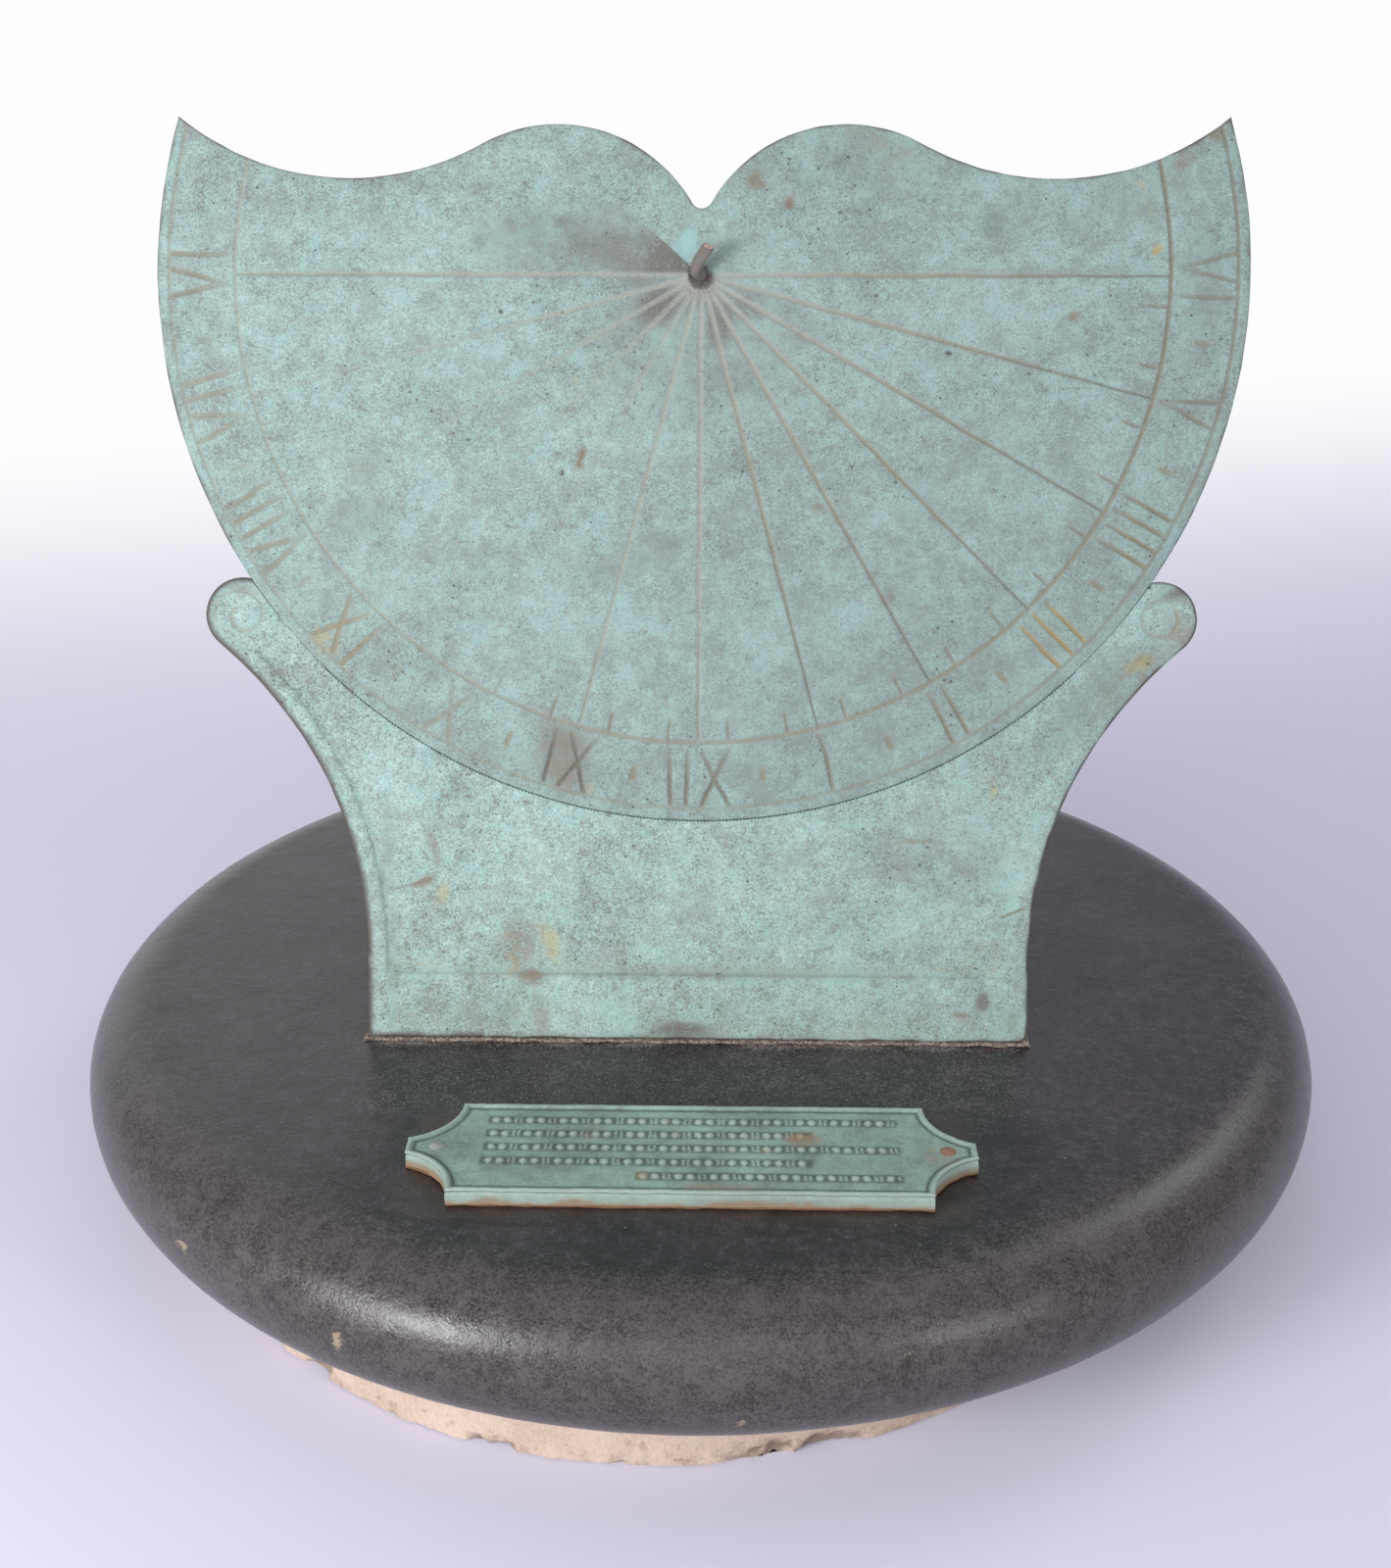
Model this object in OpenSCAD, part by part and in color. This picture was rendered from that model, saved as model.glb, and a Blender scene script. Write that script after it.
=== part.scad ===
// Bronze sundial: a leaf-shaped dial on a flared stand, leaning back on a round stone slab,
// with a small plaque in front of it and a rough foot stone below.
// The origin is on the slab's axis, on the face that the sundial stands on. +Z is up,
// and the dial faces -Y.

/* [Stone base] */
// Diameter of the slab
slab_d = 365; // [340:1:400]
// Thickness of the slab, which is also the height of its full-round edge
slab_t = 40; // [34:1:46]
// Diameter of the foot stone
foot_d = 280; // [240:1:284]
// Height of the foot stone
foot_h = 24; // [15:1:40]
// How far the foot stone sits left of the slab's axis
foot_left = 9; // [0:1:10]
// How far the foot stone sits in front of the slab's axis
foot_front = 12; // [0:1:14]
// Chamfer round the foot stone's lower edge
foot_chamfer = 2; // [0.5:0.5:4]
// Thickness of the mortar between foot stone and slab
mortar_t = 2; // [1:0.5:4]
// How far the mortar stays back from the foot stone's edge
mortar_inset = 4; // [2:1:10]

/* [Stand] */
// Angle by which the stand and the dial lean back from upright
lean = 19.3; // [12:0.1:26]
// Distance from the slab's axis to the stand's front face, on the slab
stand_front = 55.5; // [48:0.5:64]
// Width of the stand at its foot
stand_w = 185; // [170:1:200]
// Thickness of the stand's plain field
stand_t = 7; // [6:0.5:9]
// Radius of the stand's hollow sides
side_r = 113; // [100:1:125]
// Distance from the dial's centre line to a volute's centre
volute_x = 127; // [125:0.5:129]
// Distance from the six o'clock line down to a volute's centre
volute_down = 93.5; // [92:0.5:96]
// Radius of a volute
volute_r = 10.5; // [9.5:0.5:11.5]
// Radius of the raised eye in a volute
eye_r = 4.2; // [3:0.1:5]
// Width of the groove round a volute's eye
eye_groove_w = 1.4; // [1:0.1:2]
// Width of the raised border along the hollow sides
border_w = 5.5; // [4:0.5:8]
// Height of the raised band along the stand's foot
band_h = 19; // [15:0.5:22]
// How far border, band, volutes and dial stand proud of the field
relief = 1; // [0.6:0.1:1.5]

/* [Dial] */
// Radius of the dial's round edge
dial_r = 150; // [147:0.5:151]
// Thickness of the dial
dial_t = 5; // [4:0.5:6]
// Distance from the slab up the stand's face to the dial's centre
dial_up = 212.5; // [205:0.5:222]
// Distance from the centre line to the top of a shoulder
shoulder_x = 39.6; // [38:0.2:41]
// Height of a shoulder above the six o'clock line
shoulder_up = 40.8; // [39:0.2:42]
// Radius of a shoulder
shoulder_r = 43; // [42:0.5:46]
// Distance from the centre line to the lowest point of a hollow
hollow_x = 96.5; // [94:0.5:99]
// Height of a hollow above the six o'clock line
hollow_up = 26.2; // [25:0.2:27]
// Radius at the bottom of the notch between the shoulders
notch_r = 3; // [2:0.5:5]
// Width of the lap by which the stand backs the dial
lap_w = 38; // [32:1:44]
// Play between the dial's edge and its seat in the stand
seat_play = 0.2; // [0.1:0.05:0.4]

/* [Engraving] */
// Depth of every engraved line and numeral
engrave_t = 0.6; // [0.4:0.1:0.8]
// Distance from the dial's edge to the circle inside the numerals
chapter_inset = 21.7; // [20:0.1:23]
// Width of that circle's groove
chapter_w = 1.2; // [0.8:0.1:1.6]
// Distance from the dial's edge to the fine circle outside the numerals
rim_line_inset = 3.4; // [2.4:0.1:4]
// Width of that fine circle's groove
rim_line_w = 0.7; // [0.5:0.1:1]
// Width of an hour line
hour_line_w = 1.1; // [0.8:0.1:1.5]
// Radius at which the hour lines start
hour_line_start = 7; // [5:0.5:10]
// Distance from the middle of the inner circle's groove to the numerals
numeral_foot_gap = 2.5; // [1.5:0.1:3]
// Distance from the numerals to the middle of the fine circle's groove
numeral_head_gap = 1.2; // [0.8:0.1:2]
// Width of a numeral's stroke
stroke_w = 1.5; // [1:0.1:1.8]
// Room that an I takes
narrow_step = 4.7; // [4.3:0.1:5]
// Room that a V or an X takes
wide_step = 11; // [10.5:0.1:11.5]
// Distance between the two strokes of a V at its top, or of an X at its ends
spread = 7.2; // [6:0.1:8]
// Width of a half-hour lozenge
lozenge_w = 3; // [2:0.1:4]
// Height of a half-hour lozenge
lozenge_h = 5; // [4:0.1:7]
// Length of a quarter-hour tick
tick_len = 5.5; // [3:0.1:6]

/* [Gnomon] */
// Diameter of the gnomon's rod
rod_d = 3; // [2.5:0.1:3.5]
// Angle by which the rod bends up
rod_bend = 50; // [30:1:60]
// Radius of the bend on the rod's axis
rod_bend_r = 5; // [4:0.5:7]
// Length of straight rod past the bend
rod_tip = 7; // [4:0.5:12]
// Angle by which the bent rod turns to the right of upright
rod_turn = 12; // [0:1:20]
// Straight length of the rod between dial and bend
rod_neck = 1; // [0.5:0.5:2]
// Diameter of the sunk seat round the rod
sink_d = 7; // [6:0.5:8]
// Depth of that sunk seat
sink_t = 1.2; // [0.8:0.1:2]
// Diameter of the washer behind the dial
rod_washer_d = 9; // [8:0.5:11]
// Thickness of the washer behind the dial
rod_washer_t = 1.2; // [1:0.1:1.6]

/* [Foot angle] */
// Thickness of the angle's web, behind the stand
web_t = 5; // [4:0.5:6]
// Height of the web up the stand's back
web_h = 30; // [30:1:36]
// Thickness of the angle's flange, on the slab
flange_t = 5; // [4:0.5:6]
// Depth from the stand's front face to the flange's back edge
flange_reach = 31; // [30:0.5:38]
// Rounding of the flange's back corners
flange_corner_r = 6; // [3:0.5:8]

/* [Screws] */
// Diameter of the screws that hold the dial to the lap
lap_screw_d = 4; // [3:0.5:5]
// Distance from the lap's inner edge to those screws
lap_screw_inset = 8; // [6:0.5:9]
// Depth of those screws in the dial
lap_screw_grip = 3.4; // [2.5:0.1:3.6]
// Diameter of the screws that hold the web to the stand
web_screw_d = 5; // [4:0.5:6]
// Depth of those screws in the stand
web_screw_grip = 5; // [4:0.1:5.5]
// Height of the web's screws up the stand's face
web_screw_up = 24; // [22:0.5:25]
// Distance between the outer web screws
web_screw_span = 158; // [150:1:160]
// Distance between the inner web screws
web_screw_inner = 60; // [50:1:70]
// Clearance round a screw in the lap or the web
screw_play = 0.25; // [0.1:0.05:0.4]

/* [Anchors] */
// Diameter of the anchor studs
stud_d = 6; // [5:0.5:6]
// Depth of the studs below the slab's top
stud_sink = 30; // [20:1:30]
// Length of stud that shows above its nut
stud_end = 2; // [1:0.5:4]
// Depth of resin below a stud
stud_pocket = 2; // [1:0.5:3]
// Distance between neighbouring studs
stud_pitch = 60; // [40:1:70]
// Distance from the flange's back edge to the studs
stud_edge = 7; // [6.5:0.5:8]
// Clearance round a stud in the flange
stud_play = 0.25; // [0.1:0.05:0.5]
// Width of the nuts across their flats
nut_af = 10; // [9:0.5:10]
// Height of the nuts
nut_h = 5; // [4:0.5:5]
// Diameter of the washers under the nuts
washer_d = 12; // [11:0.5:12]
// Thickness of the washers under the nuts
washer_t = 1.2; // [1:0.1:1.6]
// Diameter of the stone's drilled holes
hole_d = 10; // [9:0.5:12]
// Thickness of the resin under stand and flange
bed_t = 1; // [0.5:0.1:1.5]
// How far the resin shows round the metal
bed_rim = 2; // [1:0.5:4]

/* [Plaque] */
// Length of the plaque from tip to tip
plaque_w = 144; // [138:1:150]
// Depth of the plaque from front to back
plaque_depth = 39.4; // [36:0.2:42]
// Length of the plaque's straight edges
plaque_edge = 119.5; // [117:0.5:122]
// Thickness of the plaque without its rim
plaque_t = 4; // [3:0.5:5]
// Distance from the slab's axis forward to the plaque's middle
plaque_front = 116.3; // [112:0.1:118]
// Radius of the hollow corners
plaque_corner_r = 17; // [16:0.5:18]
// Width of the plaque's raised rim
plaque_rim_w = 1.2; // [0.8:0.1:1.6]
// Height of the raised rim and of the ornament rows
plaque_relief = 0.5; // [0.3:0.1:0.8]
// Number of ornament rows
row_count = 5; // [3:1:5]
// Distance between ornament rows
row_step = 6.2; // [5.6:0.1:6.4]
// Length of an ornament row
row_len = 104; // [90:1:106]
// Height of an ornament row
row_w = 2.4; // [1.6:0.1:3]
// Thickness of the mastic under the plaque
mastic_t = 0.5; // [0.3:0.1:1]
// How far the mastic stays back from the plaque's edge
mastic_inset = 0.5; // [0.2:0.1:1]
// Diameter of the plaque's pins
pin_d = 2.4; // [2:0.1:3]
// Diameter of the pins' heads
pin_head_d = 4; // [3.6:0.1:4.6]
// Height of the pins' domed heads
pin_head_h = 0.7; // [0.4:0.1:1]
// Depth of the pins in the slab
pin_sink = 12; // [8:1:16]
// Distance between the two pins
pin_span = 129; // [127:0.5:130]

/* [Hidden] */
$fn = 120;

slab_bottom = foot_h + mortar_t;
slab_top = slab_bottom + slab_t;
bed_top = slab_top + bed_t;
// Overshoot of a cut past the face that it opens
over = 1;
// A size larger than the whole sundial
far = 900;

// Depth of the dial below the stand's field, and what the lap keeps behind it
dial_sink = dial_t - relief;
lap_t = stand_t - dial_sink;
lap_in_r = dial_r - lap_w;
lap_screw_r = lap_in_r + lap_screw_inset;
side_cx = stand_w / 2 + side_r;
side_cy = -volute_down - sqrt(pow(side_r + volute_r, 2) - pow(side_cx - volute_x, 2));
// Height at which a hollow side runs into its volute
side_touch = side_r / (side_r + volute_r);
side_end_x = side_cx - (side_cx - volute_x) * side_touch;
side_end_y = side_cy + (-volute_down - side_cy) * side_touch;
lap_top = -volute_down + volute_r - 1;

// A hollow is the circle that touches its shoulder's circle
shoulder_cy = shoulder_up - shoulder_r;
hollow_dx = hollow_x - shoulder_x;
hollow_dy = hollow_up - shoulder_cy;
hollow_r = (pow(hollow_dx, 2) + pow(hollow_dy, 2) - pow(shoulder_r, 2)) / (2 * (shoulder_r - hollow_dy));
hollow_cy = hollow_up + hollow_r;
notch_cy = shoulder_cy + sqrt(pow(shoulder_r + notch_r, 2) - pow(shoulder_x, 2));
// Directions in which the arcs touch each other
notch_turn = atan2(shoulder_cy - notch_cy, shoulder_x);
shoulder_turn = atan2(hollow_cy - shoulder_cy, hollow_dx);
// Direction in which a hollow ends, outside the dial's round edge
hollow_end = 330;
arc_step = 3;

hour_step = 360 / 24;
chapter_r = dial_r - chapter_inset;
rim_line_r = dial_r - rim_line_inset;
numeral_foot_r = chapter_r + numeral_foot_gap;
numeral_h = rim_line_r - numeral_head_gap - numeral_foot_r;
numerals = ["VI", "VII", "VIII", "IX", "X", "XI", "XII", "I", "II", "III", "IIII", "V", "VI"];
last_hour = 6;

stud_y = -stand_front + flange_reach - stud_edge;
flange_top = bed_top + flange_t;
nut_top = flange_top + washer_t + nut_h;
// Proportions of a slotted cheese head to its screw's diameter
head_w = 1.8;
head_h = 0.65;
slot_w = 0.3;
slot_t = 0.3;
// Proportions of the peened tail to the rod's diameter
tail_w = 1.8;
tail_h = 0.5;
web_screw_x = [-web_screw_span / 2, -web_screw_inner / 2, web_screw_inner / 2, web_screw_span / 2];
lap_screw_hours = [-2.5, -1.5, -0.5, 0.5, 1.5, 2.5];

bronze = "#8fb8b0";
bare_bronze = "#8a7a5c";

// Places its children on the stand's front face, with the dial's centre as the origin,
// +Y up the face and +Z out of it
module on_face() {
    translate([0, -stand_front, slab_top]) rotate([90 - lean, 0, 0]) translate([0, dial_up, 0])
        children();
}

// Keeps what lies above the resin bed
module above_bed() {
    intersection() {
        children();
        translate([-far / 2, -far / 2, bed_top]) cube(far);
    }
}

module both_sides() {
    children();
    mirror([1, 0, 0]) children();
}

// Round cap on a base of diameter d, its top h above z = 0
module dome(d, h) {
    r = (d * d / 4 + h * h) / (2 * h);
    intersection() {
        translate([0, 0, h - r]) sphere(r);
        translate([-d, -d, 0]) cube([2 * d, 2 * d, h + over]);
    }
}

// Turns its children to an hour, counted from noon, with +Y away from the dial's centre
module at_hour(h) {
    rotate(180 + hour_step * h) children();
}

module foot_stone() {
    color("#c9b79f") translate([-foot_left, -foot_front, 0]) {
        cylinder(h = foot_chamfer, d1 = foot_d - 2 * foot_chamfer, d2 = foot_d);
        translate([0, 0, foot_chamfer]) cylinder(h = foot_h - foot_chamfer, d = foot_d);
    }
}

module foot_mortar() {
    color("#b3a48f") translate([-foot_left, -foot_front, foot_h])
        cylinder(h = mortar_t, d = foot_d - 2 * mortar_inset);
}

module stud_places() {
    for (i = [-1:1]) translate([i * stud_pitch, stud_y, 0]) children();
}

module pin_places() {
    for (side = [-1, 1]) translate([side * pin_span / 2, -plaque_front, 0]) children();
}

module base_slab() {
    color("#3b3b3d") difference() {
        translate([0, 0, slab_bottom]) rotate_extrude() {
            square([slab_d / 2 - slab_t / 2, slab_t]);
            intersection() {
                translate([slab_d / 2 - slab_t / 2, slab_t / 2]) circle(d = slab_t);
                square([slab_d, slab_t]);
            }
        }
        stud_places() translate([0, 0, slab_top - stud_sink - stud_pocket])
            cylinder(h = stud_sink + stud_pocket + over, d = hole_d);
        pin_places() translate([0, 0, slab_top - pin_sink]) cylinder(h = pin_sink + over, d = pin_d);
    }
}

// Resin under the stand and its angle, in one piece with the plugs round the studs
module resin_bed() {
    color("#6b4a33") difference() {
        union() {
            translate([-stand_w / 2 - bed_rim, -stand_front - bed_rim, slab_top])
                cube([stand_w + 2 * bed_rim, flange_reach + 2 * bed_rim, bed_t]);
            stud_places() translate([0, 0, slab_top - stud_sink - stud_pocket])
                cylinder(h = stud_sink + stud_pocket + bed_t, d = hole_d);
        }
        stud_places() translate([0, 0, slab_top - stud_sink])
            cylinder(h = stud_sink + bed_t + over, d = stud_d);
    }
}

module anchor_studs() {
    color(bare_bronze) stud_places() translate([0, 0, slab_top - stud_sink])
        cylinder(h = nut_top + stud_end - slab_top + stud_sink, d = stud_d);
}

module stud_washers() {
    color(bare_bronze) stud_places() translate([0, 0, flange_top]) difference() {
        cylinder(h = washer_t, d = washer_d);
        translate([0, 0, -over]) cylinder(h = washer_t + 2 * over, d = stud_d + 2 * stud_play);
    }
}

module stud_nuts() {
    color(bare_bronze) stud_places() translate([0, 0, flange_top + washer_t]) difference() {
        cylinder(h = nut_h, d = nut_af / cos(30), $fn = 6);
        translate([0, 0, -over]) cylinder(h = nut_h + 2 * over, d = stud_d);
    }
}

module web_screw_places() {
    for (x = web_screw_x) translate([x, web_screw_up - dial_up, 0]) children();
}

// Point at a height z on the plane that lies depth behind the stand's front face, as [y, z]
function on_level(depth, z) = [-stand_front + depth / cos(lean) + (z - slab_top) * tan(lean), z];

// Point up the face on that plane, as [y, z]
function up_face(depth, up) = [-stand_front + up * sin(lean) + depth * cos(lean),
    slab_top + up * cos(lean) - depth * sin(lean)];

// Cast angle that carries the leaning stand: a web behind it and a flange on the resin
module foot_angle() {
    back_y = -stand_front + flange_reach;
    web_back = stand_t + web_t;
    color(bronze) difference() {
        rotate([90, 0, 90]) linear_extrude(stand_w, center = true) polygon([
            on_level(stand_t, bed_top), [back_y, bed_top], [back_y, flange_top],
            on_level(web_back, flange_top), up_face(web_back, web_h), up_face(stand_t, web_h)]);
        both_sides() translate([stand_w / 2 - flange_corner_r, back_y - flange_corner_r, bed_top - over])
            difference() {
                cube([flange_corner_r + over, flange_corner_r + over, flange_t + 2 * over]);
                cylinder(h = flange_t + 2 * over, r = flange_corner_r);
            }
        stud_places() translate([0, 0, bed_top - over])
            cylinder(h = flange_t + 2 * over, d = stud_d + 2 * stud_play);
        on_face() web_screw_places() translate([0, 0, -stand_t - web_t - over])
            cylinder(h = web_t + 2 * over, d = web_screw_d + 2 * screw_play);
    }
}

// Outline of the stand: a straight foot, two hollow sides and two volutes
module stand_outline() {
    foot_end = dial_up + stand_t;
    translate([-stand_w / 2, -foot_end]) square([stand_w, foot_end - volute_down]);
    difference() {
        translate([-side_end_x, side_cy]) square([2 * side_end_x, -volute_down - side_cy]);
        both_sides() translate([side_cx, side_cy]) circle(side_r);
    }
    both_sides() translate([volute_x, -volute_down]) circle(volute_r);
}

// The stand's plain field, inside its border and above its band
module stand_field() {
    difference() {
        translate([-volute_x, band_h - dial_up]) square([2 * volute_x, dial_up - volute_down - band_h]);
        both_sides() {
            translate([stand_w / 2 - border_w, -dial_up]) square([side_r, dial_up + side_cy]);
            translate([side_cx, side_cy]) circle(side_r + border_w);
            translate([volute_x, -volute_down]) circle(volute_r);
        }
    }
}

// The part of the lap that reaches above the volutes
module lap_ends() {
    difference() {
        intersection() {
            circle(dial_r);
            translate([-dial_r, -dial_r]) square([2 * dial_r, dial_r + lap_top]);
        }
        circle(lap_in_r);
        translate([-dial_r, -2 * dial_r - volute_down]) square([2 * dial_r, 2 * dial_r]);
    }
}

module lap_screw_places() {
    for (h = lap_screw_hours) at_hour(h) translate([0, lap_screw_r, 0]) children();
}

module stand_plate() {
    color(bronze) difference() {
        above_bed() on_face() union() {
            translate([0, 0, -stand_t]) linear_extrude(lap_t) difference() {
                union() {
                    stand_outline();
                    lap_ends();
                }
                circle(lap_in_r);
            }
            translate([0, 0, -dial_sink]) linear_extrude(dial_sink) difference() {
                stand_outline();
                circle(dial_r + seat_play);
            }
            linear_extrude(relief) difference() {
                stand_outline();
                stand_field();
                circle(dial_r + seat_play);
            }
        }
        on_face() {
            both_sides() translate([volute_x, -volute_down, 0]) difference() {
                cylinder(h = relief + over, r = eye_r + eye_groove_w);
                cylinder(h = relief + over, r = eye_r);
            }
            web_screw_places() translate([0, 0, -stand_t - over])
                cylinder(h = web_screw_grip + over, d = web_screw_d);
            lap_screw_places() translate([0, 0, -stand_t - over])
                cylinder(h = lap_t + 2 * over, d = lap_screw_d + 2 * screw_play);
        }
    }
}

// Slotted cheese-head screw whose head lies behind z = back and whose end is at z = front
module screw(d, back, front) {
    translate([0, 0, back]) {
        cylinder(h = front - back, d = d);
        difference() {
            translate([0, 0, -head_h * d]) cylinder(h = head_h * d, d = head_w * d);
            translate([-slot_w * d / 2, -head_w * d, -head_h * d - over])
                cube([slot_w * d, 2 * head_w * d, slot_t * d + over]);
        }
    }
}

module web_screws() {
    back = -stand_t - web_t;
    color(bare_bronze) on_face() web_screw_places()
        screw(web_screw_d, back, web_screw_grip - stand_t);
}

module lap_screws() {
    color(bare_bronze) on_face() lap_screw_places()
        screw(lap_screw_d, -stand_t, lap_screw_grip - dial_sink);
}

// Points of an arc between two directions, without its first point
function arc(x, y, r, from, to) = let (steps = ceil(abs(to - from) / arc_step))
    [for (i = [1:steps]) let (a = from + (to - from) * i / steps) [x + r * cos(a), y + r * sin(a)]];

// Right half of the dial's top, from the notch to outside the round edge
function dial_top() = concat(
    arc(0, notch_cy, notch_r, -90, notch_turn),
    arc(shoulder_x, shoulder_cy, shoulder_r, 180 + notch_turn, shoulder_turn),
    arc(hollow_x, hollow_cy, hollow_r, 180 + shoulder_turn, hollow_end));

// Outline of the dial: a round edge below, and a notch, two shoulders and two hollows above
module dial_outline() {
    right = dial_top();
    last = len(right) - 1;
    intersection() {
        circle(dial_r);
        polygon(concat([[0, notch_cy - notch_r]], right,
            [[dial_r + over, -dial_r - over], [-dial_r - over, -dial_r - over]],
            [for (i = [last:-1:0]) [-right[i][0], right[i][1]]]));
    }
}

module ring(r, w) {
    difference() {
        circle(r + w / 2);
        circle(r - w / 2);
    }
}

// Stroke of a numeral from x = foot_x at its foot to x = top_x at its top
module stroke(foot_x, top_x) {
    half = stroke_w / 2;
    polygon([[foot_x - half, 0], [foot_x + half, 0], [top_x + half, numeral_h], [top_x - half, numeral_h]]);
}

function room(letter) = letter == "I" ? narrow_step : wide_step;
function room_before(word, count) = count == 0 ? 0 : room_before(word, count - 1) + room(word[count - 1]);

module letter(shape) {
    half = spread / 2;
    if (shape == "I") stroke(0, 0);
    if (shape == "V") {
        stroke(0, -half);
        stroke(0, half);
    }
    if (shape == "X") {
        stroke(-half, half);
        stroke(half, -half);
    }
}

module numeral(word) {
    start = -room_before(word, len(word)) / 2;
    for (i = [0:len(word) - 1])
        translate([start + room_before(word, i) + room(word[i]) / 2, 0]) letter(word[i]);
}

module lozenge() {
    polygon([[-lozenge_w / 2, 0], [0, -lozenge_h / 2], [lozenge_w / 2, 0], [0, lozenge_h / 2]]);
}

// Everything that is engraved in the dial
module engraving() {
    ring(chapter_r, chapter_w);
    ring(rim_line_r, rim_line_w);
    for (h = [-last_hour:last_hour]) {
        at_hour(h) {
            translate([-hour_line_w / 2, hour_line_start]) square([hour_line_w, chapter_r - hour_line_start]);
            translate([0, numeral_foot_r]) numeral(numerals[h + last_hour]);
        }
    }
    for (h = [-last_hour:last_hour], quarter = [-0.25, 0.25]) {
        if (abs(h + quarter) < last_hour) at_hour(h + quarter)
            translate([-hour_line_w / 2, chapter_r - tick_len]) square([hour_line_w, tick_len]);
    }
    for (h = [-last_hour - 1:last_hour]) at_hour(h + 0.5)
        translate([0, numeral_foot_r + numeral_h / 2]) lozenge();
}

module dial_leaf() {
    color(bronze) on_face() difference() {
        translate([0, 0, -dial_sink]) linear_extrude(dial_t) dial_outline();
        translate([0, 0, relief - engrave_t]) linear_extrude(engrave_t + over) engraving();
        translate([0, 0, relief - sink_t])
            cylinder(h = sink_t, d1 = rod_d, d2 = sink_d);
        translate([0, 0, -dial_sink - over]) cylinder(h = dial_t + 2 * over, d = rod_d);
        lap_screw_places() translate([0, 0, -dial_sink - over])
            cylinder(h = lap_screw_grip + over, d = lap_screw_d);
    }
}

// Rod through the dial, bent up in front of it and peened over a washer behind it
module gnomon_rod() {
    tail_z = -dial_sink - rod_washer_t;
    neck_z = relief + rod_neck;
    color("#7d7a70") on_face() {
        translate([0, 0, tail_z]) cylinder(h = neck_z - tail_z, d = rod_d);
        translate([0, 0, tail_z]) mirror([0, 0, 1]) dome(tail_w * rod_d, tail_h * rod_d);
        translate([0, 0, neck_z]) rotate([0, 0, 90 - rod_turn]) {
            translate([rod_bend_r, 0, 0]) rotate([90, 0, 0]) intersection() {
                rotate_extrude() translate([rod_bend_r, 0]) circle(d = rod_d);
                linear_extrude(2 * rod_d, center = true) scale(2 * (rod_bend_r + rod_d))
                    polygon([[0, 0], [-1, 0], [-cos(rod_bend), sin(rod_bend)]]);
            }
            translate([rod_bend_r * (1 - cos(rod_bend)), 0, rod_bend_r * sin(rod_bend)])
                rotate([0, rod_bend, 0]) cylinder(h = rod_tip, d = rod_d);
        }
    }
}

module gnomon_washer() {
    color(bare_bronze) on_face() translate([0, 0, -dial_sink - rod_washer_t]) difference() {
        cylinder(h = rod_washer_t, d = rod_washer_d);
        translate([0, 0, -over]) cylinder(h = rod_washer_t + 2 * over, d = rod_d);
    }
}

// Outline of the plaque drawn in by inset, with a hollow in each corner
module plaque_outline(inset = 0) {
    corner_x = plaque_edge / 2 + plaque_corner_r;
    difference() {
        square([plaque_w - 2 * inset, plaque_depth - 2 * inset], center = true);
        for (x = [-corner_x, corner_x], y = [-plaque_depth / 2, plaque_depth / 2])
            translate([x, y]) circle(plaque_corner_r + inset);
    }
}

module plaque_mastic() {
    color("#a8835a") translate([0, -plaque_front, slab_top]) difference() {
        linear_extrude(mastic_t) plaque_outline(mastic_inset);
        for (side = [-1, 1]) translate([side * pin_span / 2, 0, -over])
            cylinder(h = mastic_t + 2 * over, d = pin_d);
    }
}

// Plaque with a raised rim and plain raised rows
module plaque() {
    color(bronze) translate([0, -plaque_front, slab_top + mastic_t]) difference() {
        union() {
            linear_extrude(plaque_t) plaque_outline();
            linear_extrude(plaque_t + plaque_relief) {
                difference() {
                    plaque_outline();
                    plaque_outline(plaque_rim_w);
                }
                for (i = [0:row_count - 1])
                    translate([0, (i - (row_count - 1) / 2) * row_step])
                        square([row_len, row_w], center = true);
            }
        }
        for (side = [-1, 1]) translate([side * pin_span / 2, 0, -over])
            cylinder(h = plaque_t + 2 * over, d = pin_d);
    }
}

module plaque_pins() {
    color("#a9a49a") pin_places() {
        translate([0, 0, slab_top - pin_sink])
            cylinder(h = pin_sink + mastic_t + plaque_t, d = pin_d);
        translate([0, 0, slab_top + mastic_t + plaque_t]) dome(pin_head_d, pin_head_h);
    }
}

foot_stone();
foot_mortar();
base_slab();
resin_bed();
anchor_studs();
stud_washers();
stud_nuts();
foot_angle();
stand_plate();
web_screws();
dial_leaf();
lap_screws();
gnomon_rod();
gnomon_washer();
plaque_mastic();
plaque();
plaque_pins();
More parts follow.
